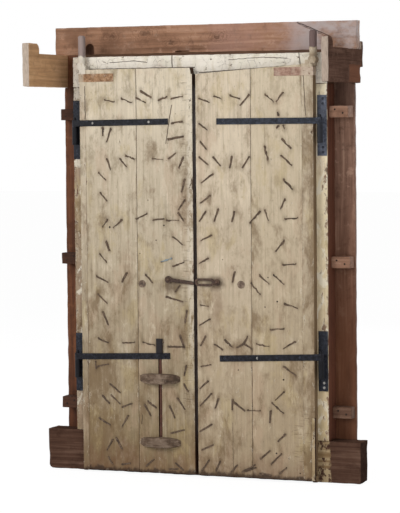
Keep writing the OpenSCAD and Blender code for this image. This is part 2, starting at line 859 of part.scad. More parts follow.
module pivot_band(length, z) {
  color(rust) {
    box([leaf_outer - length, plank_face - band_thickness, z], [leaf_outer, plank_face, z + band_height]);
    box([leaf_outer, plank_face - band_thickness, z],
      [leaf_outer + band_thickness, plank_back - 6, z + band_height]);
    rod_y(leaf_outer - length + 14, z + band_height * 0.5, 6,
      plank_face - band_thickness - 2, plank_face - 1);
  }
}

module left_pivot_band() {
  left_side() pivot_band(left_band_length, left_band_z);
}

module right_pivot_band() {
  pivot_band(right_band_length, right_band_z);
}

module strap(length, z, tilt) {
  low = z - strap_height / 2;
  color(black_iron) difference() {
    union() {
      translate([axis_x, axis_y, low]) cylinder(r = eye_r, h = strap_height);
      translate([axis_x, 0, z]) rotate([0, tilt, 0])
        box([-length, strap_face, -bar_height / 2], [0, strap_face + strap_thickness, bar_height / 2]);
    }
    translate([axis_x, axis_y, low - 1]) cylinder(r = pin_r + pin_clearance, h = strap_height + 2);
  }
}

module left_upper_strap() {
  left_side() strap(left_strap_length, left_upper_z, left_upper_tilt);
}

module left_lower_strap() {
  left_side() strap(left_strap_length, left_lower_z, left_lower_tilt);
}

module right_upper_strap() {
  strap(right_upper_length, right_upper_z, right_upper_tilt);
}

module right_lower_strap() {
  strap(right_lower_length, right_lower_z, right_lower_tilt);
}

// Places of the screws along a strap, as shares of its length
screw_shares = [0.2, 0.42, 0.62, 0.8, 0.95];

module strap_screw_set(length, z, tilt) {
  translate([axis_x, 0, z]) rotate([0, tilt, 0]) for (at = screw_shares) {
    screw(-length * at, strap_face, 0);
  }
}

// Bores in the planks for the same screws
module strap_bore_set(length, z, tilt) {
  translate([axis_x, 0, z]) rotate([0, tilt, 0]) for (at = screw_shares) {
    rod_y(-length * at, 0, screw_r * 0.4 + bore_clearance,
      plank_face - 1, strap_face + screw_length + bore_clearance);
  }
}

module left_bores() {
  strap_bore_set(left_strap_length, left_upper_z, left_upper_tilt);
  strap_bore_set(left_strap_length, left_lower_z, left_lower_tilt);
}

module right_bores() {
  strap_bore_set(right_upper_length, right_upper_z, right_upper_tilt);
  strap_bore_set(right_lower_length, right_lower_z, right_lower_tilt);
}

module left_strap_screws() {
  color(black_iron) left_side() {
    strap_screw_set(left_strap_length, left_upper_z, left_upper_tilt);
    strap_screw_set(left_strap_length, left_lower_z, left_lower_tilt);
  }
}

module right_strap_screws() {
  color(black_iron) {
    strap_screw_set(right_upper_length, right_upper_z, right_upper_tilt);
    strap_screw_set(right_lower_length, right_lower_z, right_lower_tilt);
  }
}

// Stud with a collar behind and a riveted head in front of the piece that swings on it
module stud(x, z) {
  color(rust) {
    rod_y(x, z, stud_r * 1.7, hasp_back + eye_gap, plank_face);
    rod_y(x, z, stud_r, hasp_face - eye_gap, plank_back - 4);
    translate([x, hasp_face - eye_gap, z]) rotate([90, 0, 0])
      cylinder(r1 = stud_r * 1.6, r2 = stud_r * 0.8, h = 5);
  }
}

module hasp_stud() {
  stud(-hasp_x, hasp_z);
}

module link_stud() {
  stud(link_x, link_z);
}

module rove(x, z) {
  color(rust) difference() {
    rod_y(x, z, rove_r, plank_face - 3, plank_face);
    rod_y(x, z, rove_r * 0.35, plank_face - 4, plank_face - 1);
  }
}

module left_rove() {
  rove(-left_rove_x, left_rove_z);
}

module right_rove() {
  rove(right_rove_x, right_rove_z);
}

// Hasp bar, its eye on the left stud, the bar falling gently to a round tip in the gap
module hasp_bar() {
  reach = (hasp_x - tip_gap - hasp_width / 2) / cos(hasp_fall);
  color(rust) translate([-hasp_x, 0, hasp_z]) rotate([0, hasp_fall, 0]) difference() {
    union() {
      rod_y(0, 0, hasp_eye_r, hasp_face, hasp_back);
      rod_y(reach, 0, hasp_width / 2, hasp_face, hasp_back);
      box([0, hasp_face, -hasp_width / 2], [reach, hasp_back, hasp_width / 2]);
      for (at = [0.3, 0.42, 0.54, 0.66]) {
        translate([reach * at, hasp_back, 0]) rotate([90, 0, 0]) rotate([0, 0, 28])
          translate([-3, -hasp_width / 2, 0]) cube([6, hasp_width, hasp_thickness + 1.5]);
      }
    }
    rod_y(0, 0, stud_r + pin_clearance, hasp_face - 3, hasp_back + 1);
  }
}

// Oval link with a small eye on the right stud
module chain_link() {
  tip = tip_gap;
  half = link_height / 2;
  near = link_x - hasp_eye_r - half + 4;
  color(rust) difference() {
    union() {
      rod_y(link_x, link_z, hasp_eye_r * 0.9, hasp_face, hasp_back);
      box([tip + half, hasp_face, link_z - half], [near, hasp_back, link_z + half]);
      rod_y(tip + half, link_z, half, hasp_face, hasp_back);
      rod_y(near, link_z, half, hasp_face, hasp_back);
    }
    rod_y(link_x, link_z, stud_r + pin_clearance, hasp_face - 1, hasp_back + 1);
    box([tip + half, hasp_face - 1, link_z - half + link_rod],
      [near, hasp_back + 1, link_z + half - link_rod]);
    rod_y(tip + half, link_z, half - link_rod, hasp_face - 1, hasp_back + 1);
    rod_y(near, link_z, half - link_rod, hasp_face - 1, hasp_back + 1);
  }
}

// Drop bolt and its two boat-shaped guides

module bolt_guide(z) {
  half = guide_length / 2;
  h = guide_height / 2;
  color(grey_wood) translate([-bolt_x, plank_face, z]) intersection() {
    translate([0, 0, -h - 1]) linear_extrude(height = guide_height + 2) polygon([
      [-half, 0],
      [-half, -6],
      [-half * 0.82, -guide_depth * 0.42],
      [-half * 0.5, -guide_depth * 0.8],
      [-half * 0.2, -guide_depth],
      [half * 0.2, -guide_depth],
      [half * 0.5, -guide_depth * 0.8],
      [half * 0.82, -guide_depth * 0.42],
      [half, -6],
      [half, 0]]);
    upright(-guide_depth - 1, 1) polygon([
      [-half - 1, -h * guide_end],
      [-half * 0.8, -h * 0.84],
      [-half * 0.4, -h],
      [half * 0.4, -h],
      [half * 0.8, -h * 0.84],
      [half + 1, -h * guide_end],
      [half + 1, h * guide_end],
      [half * 0.8, h * 0.84],
      [half * 0.4, h],
      [-half * 0.4, h],
      [-half * 0.8, h * 0.84],
      [-half - 1, h * guide_end]]);
  }
}

module upper_bolt_guide() {
  bolt_guide(guide_high);
}

module lower_bolt_guide() {
  bolt_guide(guide_low);
}

module drop_bolt() {
  worn_low = guide_low + guide_height * 1.2;
  worn_high = guide_high - guide_height * 0.8;
  color(rust) {
    translate([-bolt_x, bolt_y, bolt_bottom]) cylinder(r = bolt_r, h = worn_low - bolt_bottom);
    translate([-bolt_x, bolt_y, worn_low]) cylinder(r1 = bolt_r, r2 = bolt_worn_r, h = bolt_taper);
    translate([-bolt_x, bolt_y, worn_low + bolt_taper])
      cylinder(r = bolt_worn_r, h = worn_high - worn_low - 2 * bolt_taper);
    translate([-bolt_x, bolt_y, worn_high - bolt_taper])
      cylinder(r1 = bolt_worn_r, r2 = bolt_r, h = bolt_taper);
    translate([-bolt_x, bolt_y, worn_high]) cylinder(r = bolt_r, h = bolt_head_low + bolt_neck - worn_high);
    box([-bolt_x - bolt_r * 0.7, plank_face - bolt_head_gap - 1, bolt_head_low],
      [-bolt_x + bolt_r * 0.7, bolt_y, bolt_head_low + bolt_neck]);
    box([-bolt_x - bolt_head / 2, plank_face - bolt_head_gap - bolt_head_thickness, bolt_head_low],
      [-bolt_x + bolt_head / 2, plank_face - bolt_head_gap, bolt_top]);
  }
}

sill();
left_post();
right_post();
head();
lintel_board();
left_facing_board();
right_facing_board();
left_wall_arm();
right_wall_arm();
left_cleat_low();
left_cleat_mid();
left_cleat_top();
right_cleat_low();
right_cleat_mid();
right_cleat_top();
cleat_nails();
left_upper_plate();
left_lower_plate();
right_upper_plate();
right_lower_plate();
plate_screws();
left_hanging_stile();
left_outer_plank();
left_inner_plank();
left_framing_hinge_stile();
left_framing_meeting_stile();
left_framing_rails();
left_nails();
left_pivot_band();
left_upper_strap();
left_lower_strap();
left_strap_screws();
hasp_stud();
left_rove();
upper_bolt_guide();
lower_bolt_guide();
right_hanging_stile();
right_outer_plank();
right_inner_plank();
right_repair_strip();
right_framing_hinge_stile();
right_framing_meeting_stile();
right_framing_rails();
right_nails();
right_pivot_band();
right_upper_strap();
right_lower_strap();
right_strap_screws();
link_stud();
right_rove();
hasp_bar();
chain_link();
drop_bolt();
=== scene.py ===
"""Looks of the old two-leaf plank door in its frame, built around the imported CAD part."""
import json
import math
from functools import reduce

import bmesh
import bpy
import numpy as np
from mathutils import Matrix, Vector, kdtree, noise


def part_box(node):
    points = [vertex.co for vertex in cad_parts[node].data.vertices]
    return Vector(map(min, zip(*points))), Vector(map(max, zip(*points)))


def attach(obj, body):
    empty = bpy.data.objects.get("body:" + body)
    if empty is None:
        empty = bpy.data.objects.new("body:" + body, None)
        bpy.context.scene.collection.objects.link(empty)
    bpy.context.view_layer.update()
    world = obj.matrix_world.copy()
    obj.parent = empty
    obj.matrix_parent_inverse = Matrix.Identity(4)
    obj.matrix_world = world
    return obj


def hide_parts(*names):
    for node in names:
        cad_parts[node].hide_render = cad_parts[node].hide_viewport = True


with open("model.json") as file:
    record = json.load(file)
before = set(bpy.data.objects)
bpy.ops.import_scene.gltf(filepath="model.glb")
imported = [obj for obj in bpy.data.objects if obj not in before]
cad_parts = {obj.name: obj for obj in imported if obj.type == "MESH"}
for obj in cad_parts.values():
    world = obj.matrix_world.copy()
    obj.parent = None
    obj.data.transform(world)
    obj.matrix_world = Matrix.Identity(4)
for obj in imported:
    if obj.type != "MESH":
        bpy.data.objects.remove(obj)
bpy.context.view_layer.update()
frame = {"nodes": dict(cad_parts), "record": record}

MM = 0.001
X, Y, Z = 0, 1, 2
NODES = frame["nodes"]
BODY_OF = {n: body for body, names in frame["record"]["behaviour"]["bodies"].items() for n in names}
LEAF_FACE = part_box("left_inner_plank")[0].y
scene = bpy.context.scene
NOISE_SEED = 1
noise.seed_set(NOISE_SEED)  # without a seed, noise_vector differs from run to run


# Colours


def srgb(r, g, b):
    """Linear colour of an sRGB triple given in 0..255."""
    lin = [c / 12.92 if c <= 0.04045 else ((c + 0.055) / 1.055) ** 2.4 for c in (r / 255, g / 255, b / 255)]
    return (*lin, 1.0)


def shades(*triples):
    """Linear colours of sRGB triples, from dark to light."""
    return [srgb(*triple) for triple in triples]


def darker(colour, share):
    """A colour times a share; a share above 1 makes it lighter."""
    return tuple(c * share for c in colour[:3]) + (1.0,)


CREAM_TOP = srgb(210, 197, 175)
LEFT_LOW = srgb(142, 123, 94)
RIGHT_LOW = srgb(168, 149, 122)
BARE = srgb(104, 76, 54)
RED_WOOD = srgb(96, 58, 42)
# bare timber of the plank edges and backs, darkened as painted shade for the narrow gaps between the boards
SHADED_PLANK_SIDE = srgb(66, 45, 32)
PEG_LEFT, PEG_RIGHT = srgb(150, 133, 127), srgb(112, 93, 89)
PINKER_PAINT, YELLOWER_PAINT = srgb(178, 150, 126), srgb(178, 158, 112)
FRESH_PAINT, THICK_PAINT, FLAKE_RIM = srgb(222, 212, 194), srgb(222, 214, 200), srgb(222, 213, 194)
WHITE_PATCH = srgb(226, 218, 200)
DIRT, SPECK, SCRATCH = srgb(110, 87, 60), srgb(86, 66, 46), srgb(84, 62, 44)
DARK_DIRT, RED_DIRT = srgb(84, 66, 50), srgb(120, 92, 70)
RED_FOOT, WET_EDGE = srgb(104, 70, 48), srgb(50, 36, 29)
NAIL_RUST = srgb(84, 62, 42)
# the crack colour in paint also draws the painted shade lines on the head, along the leaves' top edges
CRAZE_LINE, CRACK_AND_SHADE_LINE, OLD_HOLE = srgb(70, 52, 38), srgb(62, 46, 32), srgb(28, 20, 15)
CRACK_IN_WOOD = srgb(30, 19, 14)
# pale tone laid on some screw heads as a painted highlight
SCREW_HIGHLIGHT = srgb(176, 172, 166)
BLACK_BARREL, BLACK_HEAD = srgb(16, 17, 20), srgb(17, 15, 18)
BAND_PAINT = srgb(204, 189, 170)
BLACK_IRON = shades((16, 16, 19), (28, 28, 33), (56, 57, 66))
BLUE_IRON = shades((24, 26, 31), (44, 47, 55), (72, 77, 90))
NAIL_IRON = shades((52, 41, 33), (90, 73, 59), (132, 112, 93))
FRAMING_WOOD = shades((74, 46, 28), (112, 74, 46), (140, 98, 64))


# Materials

MIX_FACTOR, MIX_A, MIX_B, MIX_RESULT = 0, 6, 7, 2  # sockets of a mix node that mixes colours
KNOT_SQUASH = (0.55, 0, 1)
RING_TURNS, RING_BEND = 720.0, 9.0
WOOD_BUMP, PAINT_BUMP, IRON_BUMP = 0.55, 0.6, 0.5
BUMP_DEPTH, IRON_BUMP_DEPTH = 0.002, 0.0012
PAINTED_ROUND = 1.80  # above this height the hanging stiles are painted on their sides too


class Tree:
    """A material in the making: short names for its nodes, and the colour it has so far."""

    def __init__(self, name):
        self.material = bpy.data.materials.new(name)
        self.material.use_nodes = True
        self.nt = self.material.node_tree
        self.bsdf = self.nt.nodes["Principled BSDF"]
        self.coord = self.nt.nodes.new("ShaderNodeTexCoord")
        self.colour = None

    def link(self, a, b):
        self.nt.links.new(a, b)

    def _put(self, socket, value):
        if hasattr(value, "is_output"):
            self.link(value, socket)
        else:
            socket.default_value = value

    def math(self, op, a, b=0.0, clamp=False):
        m = self.nt.nodes.new("ShaderNodeMath")
        m.operation = op
        m.use_clamp = clamp
        self._put(m.inputs[0], a)
        self._put(m.inputs[1], b)
        return m.outputs[0]

    def plus(self, a, b):
        return self.math("ADD", a, b)

    def minus(self, a, b):
        return self.math("SUBTRACT", a, b)

    def times(self, a, b):
        return self.math("MULTIPLY", a, b)

    def most(self, values):
        """The highest of several values."""
        return reduce(lambda a, b: self.math("MAXIMUM", a, b), values)

    def swing(self, value, width):
        """A noise brought round zero, with the given width."""
        return self.times(self.minus(value, 0.5), width)

    def vec(self, op, a, b=(0, 0, 0), value=False):
        v = self.nt.nodes.new("ShaderNodeVectorMath")
        v.operation = op
        self._put(v.inputs[0], a)
        self._put(v.inputs[1], b)
        return v.outputs["Value" if value else "Vector"]

    def scaled(self, vector, factor):
        v = self.nt.nodes.new("ShaderNodeVectorMath")
        v.operation = "SCALE"
        v.inputs[0].default_value = vector
        self.link(factor, v.inputs["Scale"])
        return v.outputs["Vector"]

    def noise(self, stretch, offset, detail, rough, distortion=0.0, scale=1.0):
        """Noise over the object's points, which are first stretched along each axis and moved."""
        m = self.nt.nodes.new("ShaderNodeMapping")
        self.link(self.coord.outputs["Object"], m.inputs["Vector"])
        m.inputs["Scale"].default_value = stretch
        m.inputs["Location"].default_value = offset
        n = self.nt.nodes.new("ShaderNodeTexNoise")
        self.link(m.outputs["Vector"], n.inputs["Vector"])
        n.inputs["Scale"].default_value = scale
        n.inputs["Detail"].default_value = detail
        n.inputs["Roughness"].default_value = rough
        n.inputs["Distortion"].default_value = distortion
        return n.outputs["Fac"]

    def crackle(self, vector, scale):
        v = self.nt.nodes.new("ShaderNodeTexVoronoi")
        v.feature = "DISTANCE_TO_EDGE"
        self.link(vector, v.inputs["Vector"])
        v.inputs["Scale"].default_value = scale
        return v.outputs["Distance"]

    def steps(self, value, low, high):
        """0 at low and before it, 1 at high and past it, smooth between; low may be the larger one."""
        r = self.nt.nodes.new("ShaderNodeMapRange")
        r.interpolation_type = "SMOOTHSTEP"
        self._put(r.inputs["Value"], value)
        r.inputs["From Min"].default_value = low
        r.inputs["From Max"].default_value = high
        return r.outputs["Result"]

    def between(self, value, low, high, soft):
        """1 from low to high, falling to 0 over the soft width on both sides."""
        return self.times(self.steps(value, low - soft, low), self.steps(value, high + soft, high))

    def mix(self, factor, a, b):
        m = self.nt.nodes.new("ShaderNodeMix")
        m.data_type = "RGBA"
        self._put(m.inputs[MIX_FACTOR], factor)
        self._put(m.inputs[MIX_A], a)
        self._put(m.inputs[MIX_B], b)
        return m.outputs[MIX_RESULT]

    def cover(self, mask, amount, tone):
        """Lays a tone over the colour where the mask is 1, as strongly as the amount says."""
        self.colour = self.mix(self.times(mask, amount), self.colour, tone)

    def ramp(self, value, stops):
        r = self.nt.nodes.new("ShaderNodeValToRGB")
        while len(r.color_ramp.elements) < len(stops):
            r.color_ramp.elements.new(0.5)
        for e, (pos, colour) in zip(r.color_ramp.elements, stops):
            e.position = pos
            e.color = colour
        self.link(value, r.inputs["Fac"])
        return r.outputs["Color"]

    def part_of(self, output, which):
        s = self.nt.nodes.new("ShaderNodeSeparateXYZ")
        self.link(self.coord.outputs[output], s.inputs[0])
        return s.outputs[which]

    def axis(self, which):
        """One coordinate of the object's points, in metres."""
        return self.part_of("Object", which)

    def facing(self, axis, low, high):
        """1 on faces that look along an axis (components of the object's own normal)."""
        return self.steps(self.part_of("Normal", axis), low, high)

    def off_x(self, x):
        """Distance from an upright line, in metres."""
        return self.math("ABSOLUTE", self.minus(self.axis(X), x))

    def wear(self):
        """Closeness to an arris and rust stain, worked out for each vertex."""
        a = self.nt.nodes.new("ShaderNodeAttribute")
        a.attribute_name = "wear"
        s = self.nt.nodes.new("ShaderNodeSeparateColor")
        self.link(a.outputs["Color"], s.inputs[0])
        return s.outputs[0], s.outputs[1]

    def on_face(self, wobble):
        """Object point pressed flat on the room face, shaken a little so that lines aren't ruled."""
        n = self.nt.nodes.new("ShaderNodeTexNoise")
        self.link(self.coord.outputs["Object"], n.inputs["Vector"])
        n.inputs["Scale"].default_value = 45
        n.inputs["Detail"].default_value = 4
        centred = self.vec("SUBTRACT", n.outputs["Color"], (0.5, 0.5, 0.5))
        shake = self.vec("MULTIPLY", centred, (wobble, wobble, wobble))
        return self.vec("MULTIPLY", self.vec("ADD", self.coord.outputs["Object"], shake), (1, 0, 1))

    def knots(self, points, seed):
        """Rings of grain round knots at (x, z) with a reach, in millimetres; returns rings and hearts."""
        p = self.on_face(0.05)
        rings, hearts = [], []
        for x, z, reach in points:
            apart = self.vec("SUBTRACT", p, (x * MM, 0, z * MM))
            far = self.vec("DISTANCE", self.vec("MULTIPLY", apart, KNOT_SQUASH), (0, 0, 0), True)
            bend = self.noise((12, 12, 24), (seed, x, z), 4, 0.6)
            turn = self.plus(self.times(far, RING_TURNS), self.times(bend, RING_BEND))
            rings.append(self.times(self.steps(self.math("SINE", turn), 0.0, 0.9),
                                    self.steps(far, reach * MM, reach * 0.35 * MM)))
            hearts.append(self.steps(far, reach * 0.32 * MM, reach * 0.1 * MM))
        return self.most(rings), self.most(hearts)

    def cracks_and_shade_lines(self, lines):
        """1 on thin lines from (x, z) to (x, z), in millimetres, each with its width."""
        p = self.on_face(0.006)
        drawn = []
        for (x0, z0), (x1, z1), width in lines:
            start = Vector((x0 * MM, 0, z0 * MM))
            run = Vector((x1 * MM, 0, z1 * MM)) - start
            reached = self.vec("DOT_PRODUCT", self.vec("SUBTRACT", p, start), run, True)
            along = self.math("DIVIDE", reached, run.length_squared, True)
            near = self.vec("ADD", self.scaled(run, along), start)
            drawn.append(self.steps(self.vec("DISTANCE", p, near, True), width * 0.75 * MM, width * 0.3 * MM))
        return self.most(drawn)

    def dots(self, points):
        """1 inside small round holes at (x, z), in millimetres, each with its radius."""
        p = self.on_face(0.003)
        drawn = []
        for x, z, radius in points:
            far = self.vec("DISTANCE", p, (x * MM, 0, z * MM), True)
            drawn.append(self.steps(far, radius * 1.1 * MM, radius * 0.8 * MM))
        return self.most(drawn)

    def smudge(self, x, z, reach_x, reach_z):
        """1 in the middle of a soft oval on the room face, in millimetres."""
        apart = self.vec("SUBTRACT", self.on_face(0.03), (x * MM, 0, z * MM))
        share = self.vec("MULTIPLY", apart, (1 / (reach_x * MM), 0, 1 / (reach_z * MM)))
        return self.steps(self.vec("LENGTH", share, (0, 0, 0), True), 1.0, 0.35)

    def finish(self, rough, height, strength, depth=BUMP_DEPTH, shine=0.15):
        self._put(self.bsdf.inputs["Base Color"], self.colour)
        self.bsdf.inputs["Specular IOR Level"].default_value = shine
        self._put(self.bsdf.inputs["Roughness"], rough)
        b = self.nt.nodes.new("ShaderNodeBump")
        b.inputs["Strength"].default_value = strength
        b.inputs["Distance"].default_value = depth
        self.link(height, b.inputs["Height"])
        self.link(b.outputs["Normal"], self.bsdf.inputs["Normal"])
        return self.material


def stretched(along, across):
    """Noise scales for timber whose grain runs along each axis."""
    return {"X": (along, across, across), "Y": (across, along, across), "Z": (across, across, along)}


GRAIN = stretched(2.2, 60)
FINE = stretched(9, 420)
STREAK = stretched(4, 105)
LONG = stretched(0.7, 34)


def timber(t, tones, along, seed, edge):
    """Grain, pores, dark streaks and pale scuffed arrises of bare timber; returns grain and pores."""
    dark, mid, light = tones
    grain = t.noise(GRAIN[along], (seed, seed * 0.7, seed * 1.3), 7, 0.62, 0.6)
    fine = t.noise(FINE[along], (seed, 0, seed), 4, 0.6)
    blotch = t.noise((5, 5, 5), (seed * 2, seed, 0), 4, 0.6)
    tone = t.plus(t.times(grain, 0.66), t.times(blotch, 0.34))
    t.colour = t.ramp(tone, [(0.32, dark), (0.52, mid), (0.72, light)])
    pores = t.steps(fine, 0.56, 0.72)
    t.cover(pores, 0.5, dark)
    streak = t.noise(GRAIN[along], (seed + 9, 3, 1), 6, 0.7, scale=1.7)
    t.cover(t.steps(streak, 0.60, 0.74), 0.55, darker(dark, 0.45))
    scuff = t.noise((40, 40, 40), (seed, 2, 5), 6, 0.7)
    t.cover(t.times(edge, t.steps(scuff, 0.48, 0.66)), 0.45, light)
    return grain, pores


def timber_height(t, grain, pores):
    return t.plus(t.times(grain, 0.6), t.times(pores, -0.35))


def wood(name, tones, along, seed, rough=0.7, dust=None, ends=None, cracks_and_shade_lines=(), tints=(), knots=(),
         patch=None, foot=None, smudges_and_shade=(), mottle=0.4, shine=0.15):
    """Bare old timber in three tones, its grain along an axis.

    Dust is the colour of pale specks, ends is a paler colour for the cut end towards the room, tints are
    (x, reach, colour, amount), patch is (y low, y high, z low, z high, colour) of a freshly split place on
    the side, foot is (z low, z high, colour, amount) of a darker lower part, smudges are dark ovals as on
    the paint (on the facing boards painted shadow under the arms, with some dirt, and on the lintel painted
    shade in the notch by the left peg), mottle is how strongly the timber is stained in spots, shine is its
    sheen.
    """
    dark, _, light = tones
    t = Tree(name)
    edge, _ = t.wear()
    grain, pores = timber(t, tones, along, seed, edge)
    spots = t.noise((17, 17, 17), (seed, 6, 1), 9, 0.72, 0.3)
    t.cover(t.steps(spots, 0.53, 0.66), mottle, darker(dark, 0.7))
    t.cover(t.steps(spots, 0.46, 0.34), mottle * 0.8, darker(light, 1.15))
    for x, reach, tint, amount in tints:
        wash = t.noise((6, 6, 9), (seed, 8, 2), 6, 0.65)
        t.cover(t.times(t.steps(t.off_x(x), reach, reach * 0.25), t.steps(wash, 0.35, 0.62)), amount, tint)
    if knots:
        rings, hearts = t.knots(knots, seed)
        t.cover(rings, 0.5, dark)
        t.cover(hearts, 0.6, darker(dark, 0.6))
    if patch:
        y_low, y_high, z_low, z_high, split = patch
        ragged = t.swing(t.noise((30, 30, 60), (seed, 3, 3), 6, 0.7), 0.03)
        here = t.times(t.between(t.plus(t.axis(Y), ragged), y_low, y_high, 0.006),
                       t.between(t.plus(t.axis(Z), ragged), z_low, z_high, 0.006))
        t.cover(here, 0.75, t.mix(t.steps(grain, 0.4, 0.6), split, darker(split, 0.7)))
    if foot:
        z_dark, z_plain, tone, amount = foot
        t.cover(t.steps(t.axis(Z), z_plain, z_dark), amount, t.mix(grain, darker(tone, 0.5), darker(tone, 1.5)))
    for x, z, reach_x, reach_z, tone, amount in smudges_and_shade:
        t.cover(t.smudge(x, z, reach_x, reach_z), amount, tone)
    if dust:
        speck = t.noise((26, 26, 26), (4, seed, 2), 8, 0.75)
        t.cover(t.steps(speck, 0.56, 0.72), 0.3, dust)
    if ends:
        end_grain = t.noise((150, 20, 40), (seed, 1, 1), 6, 0.7)
        end_colour = t.mix(t.steps(end_grain, 0.42, 0.66), ends, darker(ends, 0.72))
        t.colour = t.mix(t.facing(Y, -0.5, -0.8), t.colour, end_colour)
    height = timber_height(t, grain, pores)
    if cracks_and_shade_lines:
        line = t.cracks_and_shade_lines(cracks_and_shade_lines)
        t.cover(line, 0.92, CRACK_IN_WOOD)
        height = t.minus(height, line)
    return t.finish(t.plus(rough, t.swing(grain, 0.35)), height, WOOD_BUMP, shine=shine)


def sill_finish():
    """Brown beam whose front was painted with the right post, between the leaf's edge and the post's edge."""
    t = Tree("wood_sill")
    edge, _ = t.wear()
    grain, pores = timber(t, shades((53, 36, 29), (84, 61, 50), (116, 91, 77)), "X", 6.6, edge)
    speck = t.noise((22, 22, 22), (4, 6, 2), 8, 0.75)
    t.cover(t.steps(speck, 0.56, 0.74), 0.3, srgb(116, 94, 78))
    damp = t.noise((8, 8, 11), (2, 5, 7), 8, 0.7, 0.3)
    t.cover(t.steps(damp, 0.50, 0.62), 0.4, srgb(48, 31, 25))
    # painted shade: the sill's end that faces +X, away from the key light, is darkened
    shaded_end = t.facing(X, 0.5, 0.8)
    t.cover(shaded_end, 0.6, srgb(32, 26, 24))
    x = t.plus(t.axis(X), t.swing(t.noise((40, 40, 22), (1, 2, 3), 8, 0.72), 0.05))
    strip = t.times(t.steps(x, 0.49, 0.50), t.steps(x, 0.612, 0.604))
    strip = t.times(strip, t.facing(Y, -0.5, -0.8))
    flaked = t.steps(t.noise((30, 30, 18), (3, 1, 8), 9, 0.74), 0.54, 0.57)
    cream = t.mix(t.steps(grain, 0.42, 0.62), srgb(172, 151, 118), srgb(128, 104, 74))
    t.cover(t.times(strip, t.minus(1.0, flaked)), 0.9, cream)
    return t.finish(0.72, timber_height(t, grain, pores), WOOD_BUMP, shine=0.0)


def coat(t, top, low, along, seed, grime, z_low, z_high):
    """Paint that darkens downwards, with tints and brush marks; returns the noises that later layers follow."""
    streak = t.noise(STREAK[along], (seed, 4, seed), 6, 0.6, 0.2)
    long_line = t.noise(LONG[along], (seed, 7, seed), 7, 0.66, 0.1)
    grain = t.noise(GRAIN[along], (seed, 1, seed), 8, 0.66, 0.2, scale=1.1)
    fine = t.noise(FINE[along], (seed, 3, 1), 5, 0.65)
    blotch = t.noise((5, 5, 2.4), (seed, seed, 2), 6, 0.6, 0.2)
    cloud = t.noise((19, 19, 9), (seed, 8, seed), 8, 0.7, 0.2)
    hue = t.noise((9, 9, 4), (2, seed, seed), 6, 0.65, 0.2)
    rise = t.math("DIVIDE", t.minus(t.axis(Z), z_low), z_high - z_low, True)
    t.colour = t.mix(t.math("ADD", rise, t.swing(blotch, 0.8), True), low, top)
    # places of pinker, of yellower, of greyer and of paler paint
    t.cover(t.steps(hue, 0.53, 0.64), 0.34, PINKER_PAINT)
    t.cover(t.steps(hue, 0.47, 0.36), 0.38, YELLOWER_PAINT)
    t.cover(t.steps(cloud, 0.52, 0.66), 0.46 * grime, darker(low, 0.74))
    t.cover(t.steps(cloud, 0.46, 0.34), 0.34, darker(top, 1.14))
    # brush marks, raised grain and fine dirt lines along the board
    t.cover(t.steps(streak, 0.50, 0.72), 0.34 * grime, darker(low, 0.62))
    t.cover(t.steps(streak, 0.48, 0.34), 0.15, darker(top, 1.16))
    t.cover(t.steps(long_line, 0.57, 0.72), 0.30 * grime, darker(low, 0.6))
    t.cover(t.steps(grain, 0.56, 0.76), 0.36 * grime, darker(low, 0.5))
    t.cover(t.steps(fine, 0.54, 0.76), 0.32 * grime, darker(low, 0.45))
    return grain, fine, blotch, cloud, rise


def dirt(t, seed, grime, edge, cloud, rise, dirty_edge, rusty_foot):
    """Dirt in blotches, more of it low down, by the arrises and by a dirty edge; specks; a red foot."""
    dirt_at = t.plus(t.noise((10, 10, 5), (7, seed, 3), 9, 0.72, 0.2), t.times(t.minus(1.0, rise), 0.06))
    dirt_at = t.plus(dirt_at, t.times(edge, 0.05))
    if dirty_edge:
        dirty_x, reach, z_dirty, z_clean = dirty_edge
        by_edge = t.times(t.steps(t.off_x(dirty_x), reach, 0.0), t.steps(t.axis(Z), z_clean, z_dirty))
        dirt_at = t.plus(dirt_at, t.times(by_edge, 0.14))
    t.cover(t.steps(dirt_at, 0.53, 0.72), 0.7 * grime, DIRT)
    speckle = t.noise((150, 150, 80), (seed, 5, 1), 6, 0.75)
    t.cover(t.steps(speckle, 0.58, 0.72), 0.55 * grime, SPECK)
    if rusty_foot:
        t.cover(t.steps(t.plus(t.axis(Z), t.swing(cloud, 0.5)), 0.16, 0.03), rusty_foot, RED_FOOT)
        t.cover(t.steps(t.plus(t.axis(Z), t.swing(cloud, 0.07)), 0.034, 0.016), 0.85, WET_EDGE)


def hand_marks(t, seed, cloud, smudges_and_shade, ticks):
    """Smudges of hands and fine level scratches."""
    for x, z, reach_x, reach_z, tone, amount in smudges_and_shade:
        t.cover(t.times(t.smudge(x, z, reach_x, reach_z), t.steps(cloud, 0.30, 0.52)), amount, tone)
    for x_low, x_high, z_low, z_high in ticks:
        here = t.times(t.between(t.axis(X), x_low * MM, x_high * MM, 0.012),
                       t.between(t.axis(Z), z_low * MM, z_high * MM, 0.04))
        scratch = t.noise((20, 20, 210), (seed, 2, 2), 4, 0.6)
        t.cover(t.times(here, t.steps(scratch, 0.56, 0.66)), 0.55, SCRATCH)


